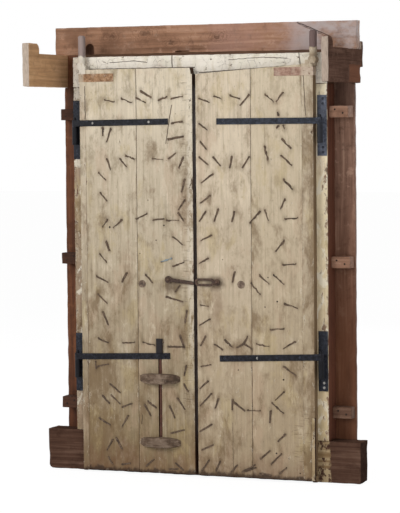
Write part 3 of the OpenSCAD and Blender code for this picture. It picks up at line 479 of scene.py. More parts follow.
def flakes(t, along, seed, edge, grain, bare, flake, white, edge_white, white_above, worn_side):
    """Spots flaked to the wood, some along the arrises, few in the field, and places of whiter paint.

    Returns the flaked spots and the noise that they follow.
    """
    chip_noise = t.noise((38, 38, 15) if along == "Z" else (22, 38, 38), (seed, 2, seed), 9, 0.74, 0.3)
    chip_at = t.plus(chip_noise, t.plus(t.times(edge, 0.06), flake))
    if edge_white:
        rim_x, reach = edge_white
        by_rim = t.times(t.steps(t.off_x(rim_x), reach, reach * 0.4), t.steps(t.axis(Z), 0.1, 0.9))
        fresh = t.noise((60, 60, 34), (seed, 9, 4), 8, 0.72, 0.5)
        t.cover(t.times(by_rim, t.steps(fresh, 0.42, 0.52)), 0.55, FRESH_PAINT)
        chip_at = t.plus(chip_at, t.times(by_rim, 0.07))
    if white_above:
        thick = t.steps(t.axis(Z), white_above, white_above + 0.03)
        patchy = t.noise((40, 40, 40), (seed, 1, 6), 8, 0.72)
        t.cover(t.times(thick, t.steps(patchy, 0.36, 0.46)), 0.8, THICK_PAINT)
        chip_at = t.plus(chip_at, t.times(thick, 0.06))
    if worn_side:
        chip_at = t.plus(chip_at, t.times(t.steps(t.axis(X), *worn_side), 0.085))
    chips = t.steps(chip_at, 0.675, 0.70)
    rim = t.minus(t.steps(chip_at, 0.64, 0.665), chips)
    t.cover(rim, 0.45, FLAKE_RIM)
    t.cover(chips, 0.92, t.mix(t.steps(grain, 0.4, 0.65), bare, darker(bare, 0.5)))
    if white:
        left_white = t.noise((14, 14, 9), (seed, 6, 2), 8, 0.7, 0.6)
        left_white = t.steps(left_white, 0.60 - 0.2 * white, 0.66 - 0.2 * white)
        t.cover(t.times(left_white, t.minus(1.0, chips)), 0.7, WHITE_PATCH)
    return chips, chip_noise


def damage(t, height, cloud, crazed, cracks_and_shade_lines, holes):
    """Crazing, cracks, the head's painted shade lines along the leaves' top edges and old nail holes, dark and
    sunk; returns the height with them.
    """
    if crazed:
        net = t.steps(t.crackle(t.on_face(0.02), 34), 0.035, 0.012)
        net = t.times(net, t.steps(cloud, 0.46, 0.56))
        t.cover(net, crazed, CRAZE_LINE)
        height = t.minus(height, net)
    # the head's painted shade lines along the leaves' top edges are drawn here with the cracks
    if cracks_and_shade_lines:
        line = t.cracks_and_shade_lines(cracks_and_shade_lines)
        t.cover(line, 0.85, CRACK_AND_SHADE_LINE)
        height = t.minus(height, line)
    if holes:
        dots = t.dots(holes)
        t.cover(dots, 0.95, OLD_HOLE)
        height = t.minus(height, dots)
    return height


def bare_sides(t, side, along, seed, edge, chip_noise, bare_above, peg):
    """Bare timber where no paint was put on: the sides, and what is above a ragged height."""
    painted = t.colour
    grain, _ = timber(t, [darker(side, 0.55), side, darker(side, 1.35)], along, seed + 2, edge)
    plain = t.colour
    unpainted = t.facing(Y, -0.75, -0.35)
    if bare_above:
        z, ragged = bare_above
        on_peg = t.steps(t.plus(t.axis(Z), t.swing(chip_noise, ragged)), z - 0.004, z + 0.004)
        plain = t.mix(on_peg, plain, t.mix(grain, darker(peg, 0.6), darker(peg, 1.4)))
        unpainted = t.times(unpainted, t.steps(t.axis(Z), PAINTED_ROUND, PAINTED_ROUND - 0.01))
        unpainted = t.most([unpainted, on_peg])
    t.colour = t.mix(unpainted, painted, plain)


def paint(name, top, low, bare, seed, along="Z", flake=0.0, white=0.0, grime=1.0, z_low=0.1, z_high=1.75,
          cracks_and_shade_lines=(), holes=(), side=None, edge_white=None, bare_above=None, dirty_edge=None, worn_side=None,
          crazed=0.0, smudges_and_shade=(), ticks=(), white_above=None, rusty_foot=0.0, peg=None):
    """Old cream paint on what faces the room, from one colour at the top to another low down.

    Bare is the wood where paint has flaked, flake and white and grime and crazed say how much of each there
    is, z_low and z_high are where the colour fades, side is the colour of the unpainted sides, edge_white is
    (x, reach) of an upright edge with fresher paint, dirty_edge is (x, reach, z dirty, z clean) of one with
    dirtier paint, worn_side is (x whole, x worn) of a face rubbed to the wood towards one side, bare_above
    is (z, raggedness), peg is the colour of what is bare there, smudges are (x, z, reach in x, reach in z,
    colour, amount) in millimetres, ticks are (x low, x high, z low, z high) of places with fine level
    scratches, white_above is the height from which thicker white paint is left, rusty_foot is how red the
    lowest part is above its dark wet edge.
    """
    t = Tree(name)
    edge, stain = t.wear()
    grain, fine, blotch, cloud, rise = coat(t, top, low, along, seed, grime, z_low, z_high)
    dirt(t, seed, grime, edge, cloud, rise, dirty_edge, rusty_foot)
    hand_marks(t, seed, cloud, smudges_and_shade, ticks)
    chips, chip_noise = flakes(t, along, seed, edge, grain, bare, flake, white, edge_white, white_above, worn_side)
    t.cover(stain, 0.75, NAIL_RUST)
    height = t.plus(t.plus(t.times(grain, 0.7), t.times(chips, -0.8)), t.times(fine, 0.25))
    height = damage(t, height, cloud, crazed, cracks_and_shade_lines, holes)
    bare_sides(t, side or bare, along, seed, edge, chip_noise, bare_above, peg)
    return t.finish(t.plus(0.7, t.swing(blotch, 0.3)), height, PAINT_BUMP)


def iron(name, tones, rough, seed, metal=0.0, patch=None, black_before=None, black_above=None, painted=None,
         spots=(), shine=0.3):
    """Hammered iron in three tones: mottled rust or worn black paint.

    Patch is the colour of old paint left on it. What stands nearer the room than black_before, or higher
    than black_above, is black. Painted is (x bare, x painted) of a piece that the leaf's paint covers in
    part. Spots are (x, z, half width, half height, colour) in millimetres; the pale spots on the screws are
    painted highlights.
    """
    dark, mid, light = tones
    t = Tree(name)
    edge, _ = t.wear()
    mottle = t.noise((70, 70, 70), (seed, 1, 2), 7, 0.7, 0.4)
    fine = t.noise((420, 420, 420), (seed, 2, 3), 5, 0.7)
    tone = t.plus(t.times(mottle, 0.7), t.times(fine, 0.3))
    t.colour = t.ramp(tone, [(0.36, dark), (0.52, mid), (0.70, light)])
    t.cover(t.times(edge, t.steps(mottle, 0.46, 0.62)), 0.4, light)
    if patch:
        over = t.noise((34, 34, 34), (seed, 4, 8), 8, 0.72)
        t.cover(t.steps(over, 0.50, 0.60), 0.25, patch)
    if black_before:
        t.cover(t.steps(t.axis(Y), black_before + 0.003, black_before), 0.85, BLACK_BARREL)
    if black_above:
        t.cover(t.steps(t.axis(Z), black_above - 0.004, black_above), 0.95, BLACK_HEAD)
    if painted:
        t.cover(t.times(t.steps(t.axis(X), *painted), t.steps(mottle, 0.34, 0.46)), 0.55, CREAM_TOP)
    for x, z, half_x, half_z, tint in spots:
        here = t.times(t.between(t.axis(X), (x - half_x) * MM, (x + half_x) * MM, 0.002),
                       t.between(t.axis(Z), (z - half_z) * MM, (z + half_z) * MM, 0.002))
        t.cover(here, 0.85, t.mix(t.steps(mottle, 0.4, 0.6), tint, darker(tint, 0.7)))
    t.bsdf.inputs["Metallic"].default_value = metal
    height = t.plus(mottle, t.times(fine, 0.4))
    return t.finish(t.plus(rough, t.swing(mottle, 0.5)), height, IRON_BUMP, IRON_BUMP_DEPTH, shine)


# Cracks, painted shade lines, smudges, old nail holes and knots on the room face: x and z in millimetres, then
# width, radius or reach
LEFT_STILE_CRACKS = [((-527, 1735), (-526, 1590), 3.0)]
LEFT_INNER_CRACKS = [((-106, 1647), (-135, 1479), 4.0), ((-262, 268), (-264, 228), 3.0)]
RIGHT_INNER_CRACKS = [((172, 250), (174, 18), 1.6)]
RIGHT_STILE_CRACKS = [((494, 1819), (500, 1792), 4.0), ((500, 1792), (510, 1766), 4.0),
                      ((510, 1766), (519, 1595), 3.0)]
# the last two head lines run along the leaves' top edges: painted shade where the leaves stand before the head
HEAD_CRACKS_AND_SHADE_LINES = [((-119, 1868), (-118, 1816), 5.0), ((474, 1868), (485, 1793), 3.5),
               ((-420, 1840), (-300, 1846), 2.5), ((-300, 1846), (-240, 1838), 3.0),
               ((150, 1842), (300, 1850), 2.5), ((300, 1850), (420, 1844), 3.0),
               ((-560, 1812), (-10, 1812), 4.5), ((10, 1788), (540, 1816), 4.5)]
LINTEL_CRACKS = [((433, 2003), (584, 1939), 3.0)]
LEFT_SMUDGES = [(-118, 850, 70, 50, DARK_DIRT, 0.7)]
RIGHT_SMUDGES = [(95, 865, 60, 46, DARK_DIRT, 0.75), (100, 760, 46, 110, RED_DIRT, 0.4)]
LEFT_OUTER_HOLES = [(-412, 1106, 5)]
LEFT_INNER_HOLES = [(-148, 1116, 4), (-186, 1050, 3), (-224, 1228, 2.5), (-265, 990, 2.5)]
RIGHT_HOLES = [(130, 968, 2.5), (342, 893, 3), (384, 789, 4), (327, 764, 3), (200, 484, 3), (410, 449, 4),
               (376, 125, 4), (485, 42, 3)]
LINTEL_KNOTS = [(-455, 1960, 46), (-290, 1972, 60), (-160, 1925, 40), (60, 1950, 44)]
# Places in metres
LINTEL_TINTS = [(-0.55, 0.4, srgb(112, 80, 60), 0.75), (0.25, 0.45, srgb(176, 136, 121), 0.5),
                (0.62, 0.34, srgb(180, 167, 164), 1.0)]
BARREL_FRONT = -0.066  # what is nearer the room on a hinge plate is its barrel
BOLT_HEAD = 0.549  # the drop bolt is black above this height
RIGHT_DIRTY_X, Z_DIRTY, Z_CLEAN = 0.56, 1.9, 2.4

M = {
    "leaf_left_outer": paint("paint_left_outer", CREAM_TOP, LEFT_LOW, BARE, 1.0, holes=LEFT_OUTER_HOLES,
                             side=SHADED_PLANK_SIDE, dirty_edge=(-0.52, 0.3, 0.3, 1.1), cracks_and_shade_lines=LEFT_STILE_CRACKS,
                             rusty_foot=0.5),
    "leaf_left_inner": paint("paint_left_inner", CREAM_TOP, LEFT_LOW, BARE, 2.3, cracks_and_shade_lines=LEFT_INNER_CRACKS,
                             holes=LEFT_INNER_HOLES, side=SHADED_PLANK_SIDE, edge_white=(-0.008, 0.036),
                             smudges_and_shade=LEFT_SMUDGES, ticks=[(-60, 0, 300, 1750)], rusty_foot=0.5),
    "leaf_right_inner": paint("paint_right_inner", srgb(212, 197, 174), RIGHT_LOW, BARE, 3.7,
                              cracks_and_shade_lines=RIGHT_INNER_CRACKS, holes=RIGHT_HOLES, side=SHADED_PLANK_SIDE,
                              smudges_and_shade=RIGHT_SMUDGES, rusty_foot=0.3),
    "leaf_right_outer": paint("paint_right_outer", srgb(204, 189, 164), RIGHT_LOW, BARE, 5.1,
                              holes=RIGHT_HOLES, side=SHADED_PLANK_SIDE, ticks=[(464, 537, 100, 302)],
                              rusty_foot=0.4, dirty_edge=(RIGHT_DIRTY_X, 0.05, Z_DIRTY, Z_CLEAN)),
    "stile": paint("paint_stile", srgb(204, 190, 168), srgb(134, 116, 90), BARE, 6.4, flake=0.02,
                   side=srgb(146, 128, 114), bare_above=(1.872, 0.06), peg=PEG_LEFT,
                   cracks_and_shade_lines=LEFT_STILE_CRACKS, white_above=1.75, rusty_foot=0.5),
    "stile_right": paint("paint_stile_right", srgb(198, 183, 160), RIGHT_LOW, BARE, 8.4, flake=0.02,
                         side=srgb(126, 104, 78), cracks_and_shade_lines=RIGHT_STILE_CRACKS, bare_above=(1.888, 0.05),
                         peg=PEG_RIGHT, dirty_edge=(RIGHT_DIRTY_X, 0.08, Z_DIRTY, Z_CLEAN), rusty_foot=0.4,
                         ticks=[(464, 553, 100, 302)]),
    "strip": paint("paint_strip", srgb(186, 168, 136), srgb(160, 140, 106), BARE, 4.2, flake=0.05,
                   side=SHADED_PLANK_SIDE),
    "post_left": paint("paint_post_left", srgb(166, 146, 124), srgb(138, 118, 95), RED_WOOD, 7.9, flake=0.09,
                       white=0.15, crazed=0.5, white_above=1.66),
    "post_right": paint("paint_post_right", srgb(238, 224, 193), srgb(188, 166, 128), srgb(140, 112, 92), 7.2,
                        flake=0.03, white=0.35, worn_side=(0.552, 0.59), side=RED_WOOD, grime=0.7),
    "head": paint("paint_head", srgb(234, 226, 212), srgb(228, 218, 202), srgb(92, 66, 48), 9.2, "X",
                  flake=0.05, white=0.5, grime=0.6, z_low=1.5, z_high=1.7, cracks_and_shade_lines=HEAD_CRACKS_AND_SHADE_LINES, crazed=0.35),
    # the dark oval at the lintel's left end is painted shade in the notch by the left peg
    "lintel": wood("wood_lintel", shades((104, 72, 53), (157, 117, 91), (186, 149, 125)), "X", 1.1,
                   dust=srgb(160, 142, 128), cracks_and_shade_lines=LINTEL_CRACKS, tints=LINTEL_TINTS, knots=LINTEL_KNOTS,
                   mottle=0.6, smudges_and_shade=[(-572, 1896, 40, 46, srgb(66, 40, 28), 0.75)]),
    # the dark oval high on the left facing board is painted shadow under the left arm, with some dirt
    "facing_left": wood("wood_facing_left", shades((52, 27, 16), (94, 56, 35), (132, 86, 58)), "Z", 2.2,
                        rough=0.6, smudges_and_shade=[(-610, 1690, 100, 120, srgb(42, 25, 18), 0.6)]),
    # the dark oval high on the right facing board is painted shadow under the right arm, with some dirt
    "facing_right": wood("wood_facing_right", shades((76, 51, 39), (136, 103, 86), (186, 152, 130)), "Z", 3.1,
                         rough=0.62, mottle=0.5, foot=(0.5, 1.5, srgb(94, 56, 34), 0.9),
                         smudges_and_shade=[(640, 1690, 130, 120, srgb(52, 33, 26), 0.6)]),
    "arm_left": wood("wood_arm_left", shades((158, 120, 84), (206, 163, 121), (226, 190, 152)), "Y", 4.4,
                     ends=srgb(184, 167, 151)),
    "arm_right": wood("wood_arm_right", shades((62, 44, 36), (98, 73, 62), (128, 101, 86)), "Y", 5.2,
                      ends=srgb(178, 160, 145), patch=(-0.065, 0.09, 1.74, 1.81, srgb(132, 90, 70)),
                      shine=0.0),
    "sill": sill_finish(),
    "cleat": wood("wood_cleat", shades((92, 63, 48), (138, 103, 83), (168, 134, 113)), "X", 7.3),
    "cleat_low": wood("wood_cleat_low", shades((62, 42, 33), (98, 71, 56), (126, 98, 81)), "X", 7.7),
    "cleat_dark": wood("wood_cleat_dark", shades((44, 25, 17), (68, 43, 31), (92, 62, 46)), "X", 8.3),
    "framing": wood("wood_framing", FRAMING_WOOD, "Z", 9.3, rough=0.55),
    "rails": wood("wood_rails", FRAMING_WOOD, "X", 10.1, rough=0.55),
    "guide": wood("wood_guide", shades((44, 34, 27), (96, 78, 64), (154, 136, 119)), "X", 11.4, rough=0.8,
                  mottle=0.5),
    "black": iron("black_hinge", BLACK_IRON, 0.48, 1.0, shine=0.12),
    "black_plate": iron("black_plate", shades((20, 21, 25), (38, 40, 47), (64, 67, 78)), 0.48, 1.0,
                        black_before=BARREL_FRONT, shine=0.12),
    "blue": iron("black_strap_right", BLUE_IRON, 0.46, 6.0, shine=0.12),
    # black iron whose lighter bluish tone is a painted reflection
    "blue_plate_reflection": iron("black_plate_right", shades((50, 53, 61), (80, 84, 96), (112, 118, 132)), 0.44, 7.0,
                       black_before=BARREL_FRONT, shine=0.15),
    "nail": iron("iron_nail", NAIL_IRON, 0.62, 2.0, shine=0.2),
    "nail_dark": iron("iron_nail_dark", shades((26, 19, 15), (46, 35, 28), (76, 61, 50)), 0.66, 2.6,
                      shine=0.15),
    "nail_left": iron("iron_nail_left", NAIL_IRON, 0.62, 2.0, shine=0.2,
                      spots=[(-140, 966, 28, 9, srgb(150, 165, 170))]),
    # the pale spots on these screw heads are painted highlights
    "screw_left": iron("black_screw_left", BLACK_IRON, 0.48, 1.4, shine=0.12,
                       spots=[(-190, 1578, 30, 14, SCREW_HIGHLIGHT), (-460, 1571, 30, 14, SCREW_HIGHLIGHT)]),
    "screw_right": iron("black_screw_right", BLUE_IRON, 0.46, 6.4, shine=0.12,
                        spots=[(161, 1575, 24, 14, SCREW_HIGHLIGHT), (344, 1573, 30, 14, SCREW_HIGHLIGHT),
                               (168, 537, 24, 14, SCREW_HIGHLIGHT), (262, 540, 30, 14, SCREW_HIGHLIGHT)]),
    "screw_plate": iron("black_screw_plate", BLUE_IRON, 0.46, 6.8, shine=0.12,
                        spots=[(590, 424, 14, 20, SCREW_HIGHLIGHT)]),
    "hasp": iron("iron_hasp", shades((40, 29, 24), (68, 50, 40), (104, 82, 67)), 0.55, 3.0, metal=0.2),
    "rove": iron("iron_rove", shades((58, 45, 37), (108, 89, 74), (166, 148, 130)), 0.6, 3.4, metal=0.1),
    "band_left": iron("iron_band_left", shades((96, 66, 44), (152, 116, 84), (182, 152, 122)), 0.75, 4.0,
                      patch=BAND_PAINT, painted=(-0.525, -0.54)),
    "band_right": iron("iron_band_right", shades((118, 86, 71), (156, 123, 106), (182, 154, 137)), 0.75, 4.6,
                       patch=BAND_PAINT, painted=(0.49, 0.51)),
    "rod": iron("iron_rod", shades((54, 33, 26), (86, 54, 42), (120, 84, 66)), 0.6, 5.0, metal=0.2,
                black_above=BOLT_HEAD),
}


# Worn copies of the CAD pieces

ARRIS = 0.014  # how far from a sharp edge its wear reaches
ARRIS_ANGLE, FLAT_ANGLE, SHADE_ANGLE = math.radians(35), math.radians(1.5), math.radians(48)
WAVES = stretched(1.5, 16)
STAIN_LONG = 0.45  # heights times this, so that stains are longer than wide
STAIN_REACH = 0.010


def stains_of_nails():
    """Search tree of the clinched tails' corner points on the room side, for rust stains around them."""
    points = [v.co for node in ("left_nails", "right_nails") for v in NODES[node].data.vertices
              if v.co.y < LEAF_FACE - 1 * MM]
    tree = kdtree.KDTree(len(points))
    for i, p in enumerate(points):
        tree.insert((p.x, 0, p.z * STAIN_LONG), i)
    tree.balance()
    return tree


stain_tree = stains_of_nails()


def bevelled(node, bevel, segments):
    """A copy of a CAD piece with its arrises bevelled; returns it and where the arrises were."""
    bm = bmesh.new()
    bm.from_mesh(NODES[node].data)
    bmesh.ops.remove_doubles(bm, verts=bm.verts, dist=1e-5)
    bmesh.ops.dissolve_limit(bm, angle_limit=FLAT_ANGLE, verts=bm.verts, edges=bm.edges)
    sharp = [e for e in bm.edges if len(e.link_faces) == 2 and e.calc_face_angle(0.0) > ARRIS_ANGLE]
    arrises = np.array([[tuple(v.co) for v in e.verts] for e in sharp])
    bmesh.ops.bevel(bm, geom=sharp, offset=bevel * MM, segments=segments, profile=0.6, affect="EDGES",
                    clamp_overlap=True)
    return bm, arrises


def cut_grid(bm, cell):
    """Cuts every face into cells of about the given sizes, in millimetres, so that wear has points to move."""
    lo = [min(v.co[a] for v in bm.verts) for a in (X, Y, Z)]
    hi = [max(v.co[a] for v in bm.verts) for a in (X, Y, Z)]
    for a in (X, Y, Z):
        n = int((hi[a] - lo[a]) / (cell[a] * MM))
        normal = Vector([1.0 if k == a else 0.0 for k in (X, Y, Z)])
        for k in range(1, n + 1):
            at = Vector((0, 0, 0))
            at[a] = lo[a] + (hi[a] - lo[a]) * k / (n + 1)
            bmesh.ops.bisect_plane(bm, geom=bm.verts[:] + bm.edges[:] + bm.faces[:], dist=1e-6,
                                   plane_co=at, plane_no=normal)


def in_order(bm):
    """The same mesh with its points and faces in a fixed order, since bevelling leaves another one each run."""
    points = sorted(bm.verts, key=lambda v: tuple(v.co))
    place = {v: i for i, v in enumerate(points)}
    rings = []
    for face in bm.faces:
        ring = [place[v] for v in face.verts]
        first = ring.index(min(ring))
        rings.append(ring[first:] + ring[:first])
    ordered = bmesh.new()
    verts = [ordered.verts.new(v.co) for v in points]
    for ring in sorted(rings):
        ordered.faces.new([verts[i] for i in ring])
    bm.free()
    return ordered


def cut_long(bm, longest):
    """Halves the edges longer than the given length in millimetres, four times at most."""
    for _ in range(4):
        edges = [e for e in bm.edges if e.calc_length() > longest * MM]
        if edges:
            bmesh.ops.subdivide_edges(bm, edges=edges, cuts=1, use_grid_fill=True)


def arris_distance(co, arrises):
    """Distance of each point to the nearest arris."""
    best = np.full(len(co), 9.0)
    for p, q in arrises:
        pq = q - p
        t = np.clip(((co - p) @ pq) / max(pq @ pq, 1e-12), 0, 1)
        best = np.minimum(best, np.linalg.norm(co - (p + t[:, None] * pq), axis=1))
    return best


def wear_marks(from_arris):
    """The wear colour of each point: closeness to an arris, and no stain yet."""
    marks = np.zeros((len(from_arris), 4), np.float32)
    marks[:, 3] = 1.0
    marks[:, 0] = np.clip(1.0 - from_arris / ARRIS, 0, 1)
    return marks


def hand_over(node, bm, marks, material):
    """Makes the object that stands for the CAD node."""
    mesh = bpy.data.meshes.new(node + "_aged")
    bm.to_mesh(mesh)
    bm.free()
    attr = mesh.color_attributes.new("wear", "FLOAT_COLOR", "POINT")
    attr.data.foreach_set("color", marks.ravel())
    mesh.polygons.foreach_set("use_smooth", [True] * len(mesh.polygons))
    mesh.set_sharp_from_angle(angle=SHADE_ANGLE)
    mesh.materials.append(material)
    obj = bpy.data.objects.new(node + "_aged", mesh)
    scene.collection.objects.link(obj)
    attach(obj, BODY_OF[node])
    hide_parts(node)


def aged(node, material, bevel, cell, rough, wear, along="Z", seed=1, stains=False):
    """A CAD piece with worn arrises and uneven faces; bevel, cell, rough and wear are in millimetres."""
    bm, arrises = bevelled(node, bevel, segments=2)
    cut_grid(bm, cell)
    bm.normal_update()
    from_arris = arris_distance(np.array([tuple(v.co) for v in bm.verts]), arrises)
    marks = wear_marks(from_arris)
    run = WAVES[along]
    for i, v in enumerate(bm.verts):
        p = v.co
        wavy = noise.noise(Vector((p.x * run[X], p.y * run[Y] + seed * 7.3, p.z * run[Z])))
        ripple = noise.noise(Vector((p.x * 90, p.y * 90 + seed, p.z * 90)))
        shift = rough * wavy + 0.25 * rough * ripple
        if from_arris[i] < ARRIS:
            bite = max(0.0, noise.noise(Vector((p.x * 22, p.y * 22 - seed, p.z * 22))) + 0.2)
            shift -= wear * bite * (1 - from_arris[i] / ARRIS)
        if stains and p.y < LEAF_FACE + 3 * MM:
            _, _, d = stain_tree.find((p.x, 0, p.z * STAIN_LONG))
            marks[i, 1] = max(0.0, 1 - d / STAIN_REACH) * (0.5 + 0.5 * noise.noise(p * 60))
        v.co = p + v.normal * shift * MM
    hand_over(node, bm, marks, material)


def aged_small(node, material, bevel, longest, rough, seed, swell=0.0):
    """Small pieces in great number, such as nails: cut along their length, shaken, and swollen by rust."""
    bm, _ = bevelled(node, bevel, segments=1)
    bm = in_order(bm)
    cut_long(bm, longest)
    bm.normal_update()
    for v in bm.verts:
        p = v.co
        shake = noise.noise_vector(Vector((p.x * 45, p.y * 10 + seed, p.z * 45)))
        shake = Vector((shake.x, 0.4 * shake.y, shake.z)) * rough
        v.co = p + (shake + Vector((v.normal.x, 0, v.normal.z)) * swell) * MM
    hand_over(node, bm, wear_marks(np.full(len(bm.verts), ARRIS * 0.6)), material)


# Frame
POST = dict(bevel=3, cell=(14, 14, 14), rough=0.6, wear=3, along="Z")
FACING = dict(bevel=3, cell=(14, 12, 20), rough=0.6, wear=3, along="Z")
ARM = dict(bevel=3, cell=(9, 12, 11), rough=0.8, along="Y")
CLEAT = dict(bevel=2.5, cell=(9, 9, 9), rough=0.6, wear=2.5, along="X")
aged("sill", M["sill"], bevel=5, cell=(16, 14, 14), rough=1.0, wear=5, along="X", seed=1)
aged("left_post", M["post_left"], **POST, seed=2)
aged("right_post", M["post_right"], **POST, seed=3)
aged("head", M["head"], bevel=3, cell=(14, 14, 12), rough=0.8, wear=3, along="X", seed=4)
aged("lintel_board", M["lintel"], bevel=4, cell=(16, 12, 12), rough=0.9, wear=4, along="X", seed=5)
aged("left_facing_board", M["facing_left"], **FACING, seed=6)
aged("right_facing_board", M["facing_right"], **FACING, seed=7)
aged("left_wall_arm", M["arm_left"], **ARM, wear=3, seed=8)
aged("right_wall_arm", M["arm_right"], **ARM, wear=4, seed=9)
for i, name in enumerate(("low", "mid", "top")):
    aged(f"left_cleat_{name}", M["cleat_dark"], **CLEAT, seed=10 + i)
    aged(f"right_cleat_{name}", M["cleat_low" if name == "low" else "cleat"], **CLEAT, seed=20 + i)
aged_small("cleat_nails", M["nail_dark"], bevel=0.5, longest=12, rough=0.3, seed=13)

# Leaves
STILE = dict(bevel=0.7, cell=(9, 12, 12), rough=0.5, wear=0.6, along="Z", stains=True)
PLANK = dict(bevel=1.2, cell=(9, 20, 11), rough=0.7, wear=1.2, along="Z", stains=True)
FRAMING = dict(bevel=3, cell=(16, 14, 30), rough=0.5, wear=2, along="Z")
STUD = dict(bevel=0.8, cell=(6, 6, 6), rough=0.4, wear=0.5)
GUIDE = dict(bevel=3, cell=(9, 9, 9), rough=0.8, wear=3, along="X")
SCREW = dict(bevel=0.3, longest=12, rough=0.1)
aged("left_hanging_stile", M["stile"], **STILE, seed=31)
aged("left_outer_plank", M["leaf_left_outer"], **PLANK, seed=32)
aged("left_inner_plank", M["leaf_left_inner"], **PLANK, seed=33)
aged("right_hanging_stile", M["stile_right"], **STILE, seed=34)
aged("right_outer_plank", M["leaf_right_outer"], **PLANK, seed=35)
aged("right_inner_plank", M["leaf_right_inner"], **PLANK, seed=36)
aged("right_repair_strip", M["strip"], bevel=1.5, cell=(7, 9, 9), rough=0.5, wear=2, along="Z", seed=37)
for side in ("left", "right"):
    aged(f"{side}_framing_hinge_stile", M["framing"], **FRAMING, seed=41)
    aged(f"{side}_framing_meeting_stile", M["framing"], **FRAMING, seed=42)
    aged(f"{side}_framing_rails", M["rails"], bevel=3, cell=(20, 14, 20), rough=0.5, wear=2, along="X", seed=43)
    aged_small(f"{side}_nails", M["nail_left" if side == "left" else "nail"], bevel=0.9, longest=9, rough=1.6,
               seed=44, swell=2.0)
    aged(f"{side}_pivot_band", M[f"band_{side}"], bevel=0.8, cell=(9, 9, 9), rough=0.5, wear=1.2, along="X",
         seed=45)
    for part in ("upper", "lower"):
        strap, plate = ("blue", "blue_plate_reflection") if (side, part) == ("right", "upper") else ("black", "black_plate")
        aged(f"{side}_{part}_strap", M[strap], bevel=0.8, cell=(20, 20, 10), rough=0.15, wear=0.4, along="X",
             seed=46)
        aged(f"{side}_{part}_plate", M[plate], bevel=0.8, cell=(12, 12, 20), rough=0.15, wear=0.4, along="Z",
             seed=47)
    aged_small(f"{side}_strap_screws", M[f"screw_{side}"], **SCREW, seed=48)
    aged(f"{side}_rove", M["rove"], bevel=0.8, cell=(6, 6, 6), rough=0.4, wear=0.6, seed=49)
aged_small("plate_screws", M["screw_plate"], **SCREW, seed=50)
aged("hasp_stud", M["hasp"], **STUD, seed=51)
aged("link_stud", M["hasp"], **STUD, seed=52)
aged("upper_bolt_guide", M["guide"], **GUIDE, seed=53)
aged("lower_bolt_guide", M["guide"], **GUIDE, seed=54)
aged("hasp_bar", M["hasp"], bevel=1.2, cell=(5, 5, 5), rough=0.5, wear=0.8, seed=55)
aged("chain_link", M["hasp"], bevel=2.5, cell=(5, 5, 5), rough=0.5, wear=0.6, seed=56)
aged("drop_bolt", M["rod"], bevel=1.2, cell=(7, 7, 10), rough=0.5, wear=0.8, seed=57)

# Camera: worked out from the straight edges of the frame in the photograph
YAW, PITCH, ROLL = math.radians(22.13), math.radians(-3.365), math.radians(0.503)
CAMERA_AT = (3.678, -9.078, 1.551)
FOCAL_PX, FRAME_PX, SENSOR = 2207.9, 513.0, 36.0
cam_data = bpy.data.cameras.new("camera")
cam_data.sensor_width = SENSOR
cam_data.lens = FOCAL_PX * SENSOR / FRAME_PX
cam_data.clip_end = 100
camera = bpy.data.objects.new("camera", cam_data)
scene.collection.objects.link(camera)
look = Vector((-math.sin(YAW) * math.cos(PITCH), math.cos(YAW) * math.cos(PITCH), math.sin(PITCH)))
camera.rotation_euler = (look.to_track_quat("-Z", "Y").to_matrix() @ Matrix.Rotation(-ROLL, 3, "Z")).to_euler()
camera.location = CAMERA_AT
scene.camera = camera


# White floor and background, soft light from the front left, weaker from the front right, and one behind

FLOOR_HALF, FLOOR_AT = 40, (0, 0, -0.0005)
FLOOR_COLOUR, FLOOR_ROUGH = (0.85, 0.85, 0.85, 1), 0.9
FLOOR_GLOW, GLOW_SHARE = 1.08, 0.86  # the rest of what the camera sees of the floor keeps the shadow
WHITE, SKY_LIGHT, SKY_SEEN = (1, 1, 1, 1), 0.40, 1.0
MIDDLE = (0, 0, 1.0)


def any_ray(nt, *kinds):
    """1 for rays of the named kinds."""
    path = nt.nodes.new("ShaderNodeLightPath")
    total = path.outputs[kinds[0]]
    for kind in kinds[1:]:
        either = nt.nodes.new("ShaderNodeMath")
        either.operation = "MAXIMUM"
        nt.links.new(total, either.inputs[0])
        nt.links.new(path.outputs[kind], either.inputs[1])
        total = either.outputs[0]
    return total


def mix_shaders(nt, factor, plain, seen, output):
    """Sends a mix of two shaders to the output: the second one as far as the factor says."""
    blend = nt.nodes.new("ShaderNodeMixShader")
    nt.links.new(factor, blend.inputs["Fac"])
    nt.links.new(plain.outputs[0], blend.inputs[1])
    nt.links.new(seen.outputs[0], blend.inputs[2])
    nt.links.new(blend.outputs[0], nt.nodes[output].inputs["Surface"])


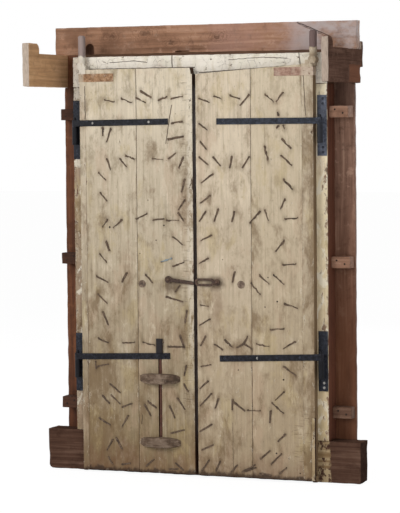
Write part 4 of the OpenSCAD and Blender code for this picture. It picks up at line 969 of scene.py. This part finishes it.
def white_floor():
    """Diffuse to the light, mostly glowing white to the camera and in reflections."""
    mat = bpy.data.materials.new("floor_white")
    mat.use_nodes = True
    nt = mat.node_tree
    diffuse = nt.nodes["Principled BSDF"]
    diffuse.inputs["Base Color"].default_value = FLOOR_COLOUR
    diffuse.inputs["Roughness"].default_value = FLOOR_ROUGH
    glow = nt.nodes.new("ShaderNodeEmission")
    glow.inputs["Strength"].default_value = FLOOR_GLOW
    share = nt.nodes.new("ShaderNodeMath")
    share.operation = "MULTIPLY"
    share.inputs[1].default_value = GLOW_SHARE
    nt.links.new(any_ray(nt, "Is Camera Ray", "Is Glossy Ray"), share.inputs[0])
    mix_shaders(nt, share.outputs[0], diffuse, glow, "Material Output")
    return mat


def stage_plane(name, size, at, material):
    bm = bmesh.new()
    bmesh.ops.create_grid(bm, x_segments=2, y_segments=2, size=size)
    mesh = bpy.data.meshes.new(name)
    bm.to_mesh(mesh)
    bm.free()
    mesh.materials.append(material)
    obj = bpy.data.objects.new(name, mesh)
    obj.location = at
    scene.collection.objects.link(obj)


def white_world():
    """Soft white light, and plain white where the background is seen, mirrored or seen through something."""
    world = bpy.data.worlds.new("studio")
    world.use_nodes = True
    nt = world.node_tree
    soft = nt.nodes["Background"]
    back = nt.nodes.new("ShaderNodeBackground")
    for background, strength in ((soft, SKY_LIGHT), (back, SKY_SEEN)):
        background.inputs["Color"].default_value = WHITE
        background.inputs["Strength"].default_value = strength
    seen = any_ray(nt, "Is Camera Ray", "Is Glossy Ray", "Is Transmission Ray")
    mix_shaders(nt, seen, soft, back, "World Output")
    return world


def softbox(name, at, size, power):
    data = bpy.data.lights.new(name, "AREA")
    data.shape = "RECTANGLE"
    data.size, data.size_y = size, size
    data.energy = power
    obj = bpy.data.objects.new(name, data)
    obj.location = at
    obj.rotation_euler = (Vector(MIDDLE) - Vector(at)).to_track_quat("-Z", "Y").to_euler()
    scene.collection.objects.link(obj)


scene.view_settings.view_transform = "Standard"
stage_plane("floor", FLOOR_HALF, FLOOR_AT, white_floor())
scene.world = white_world()
softbox("key", at=(-3.0, -5.4, 3.4), size=2.6, power=190)
softbox("fill", at=(3.2, -6.2, 2.4), size=3.0, power=95)
softbox("rear", at=(1.6, 5.6, 3.0), size=3.0, power=150)
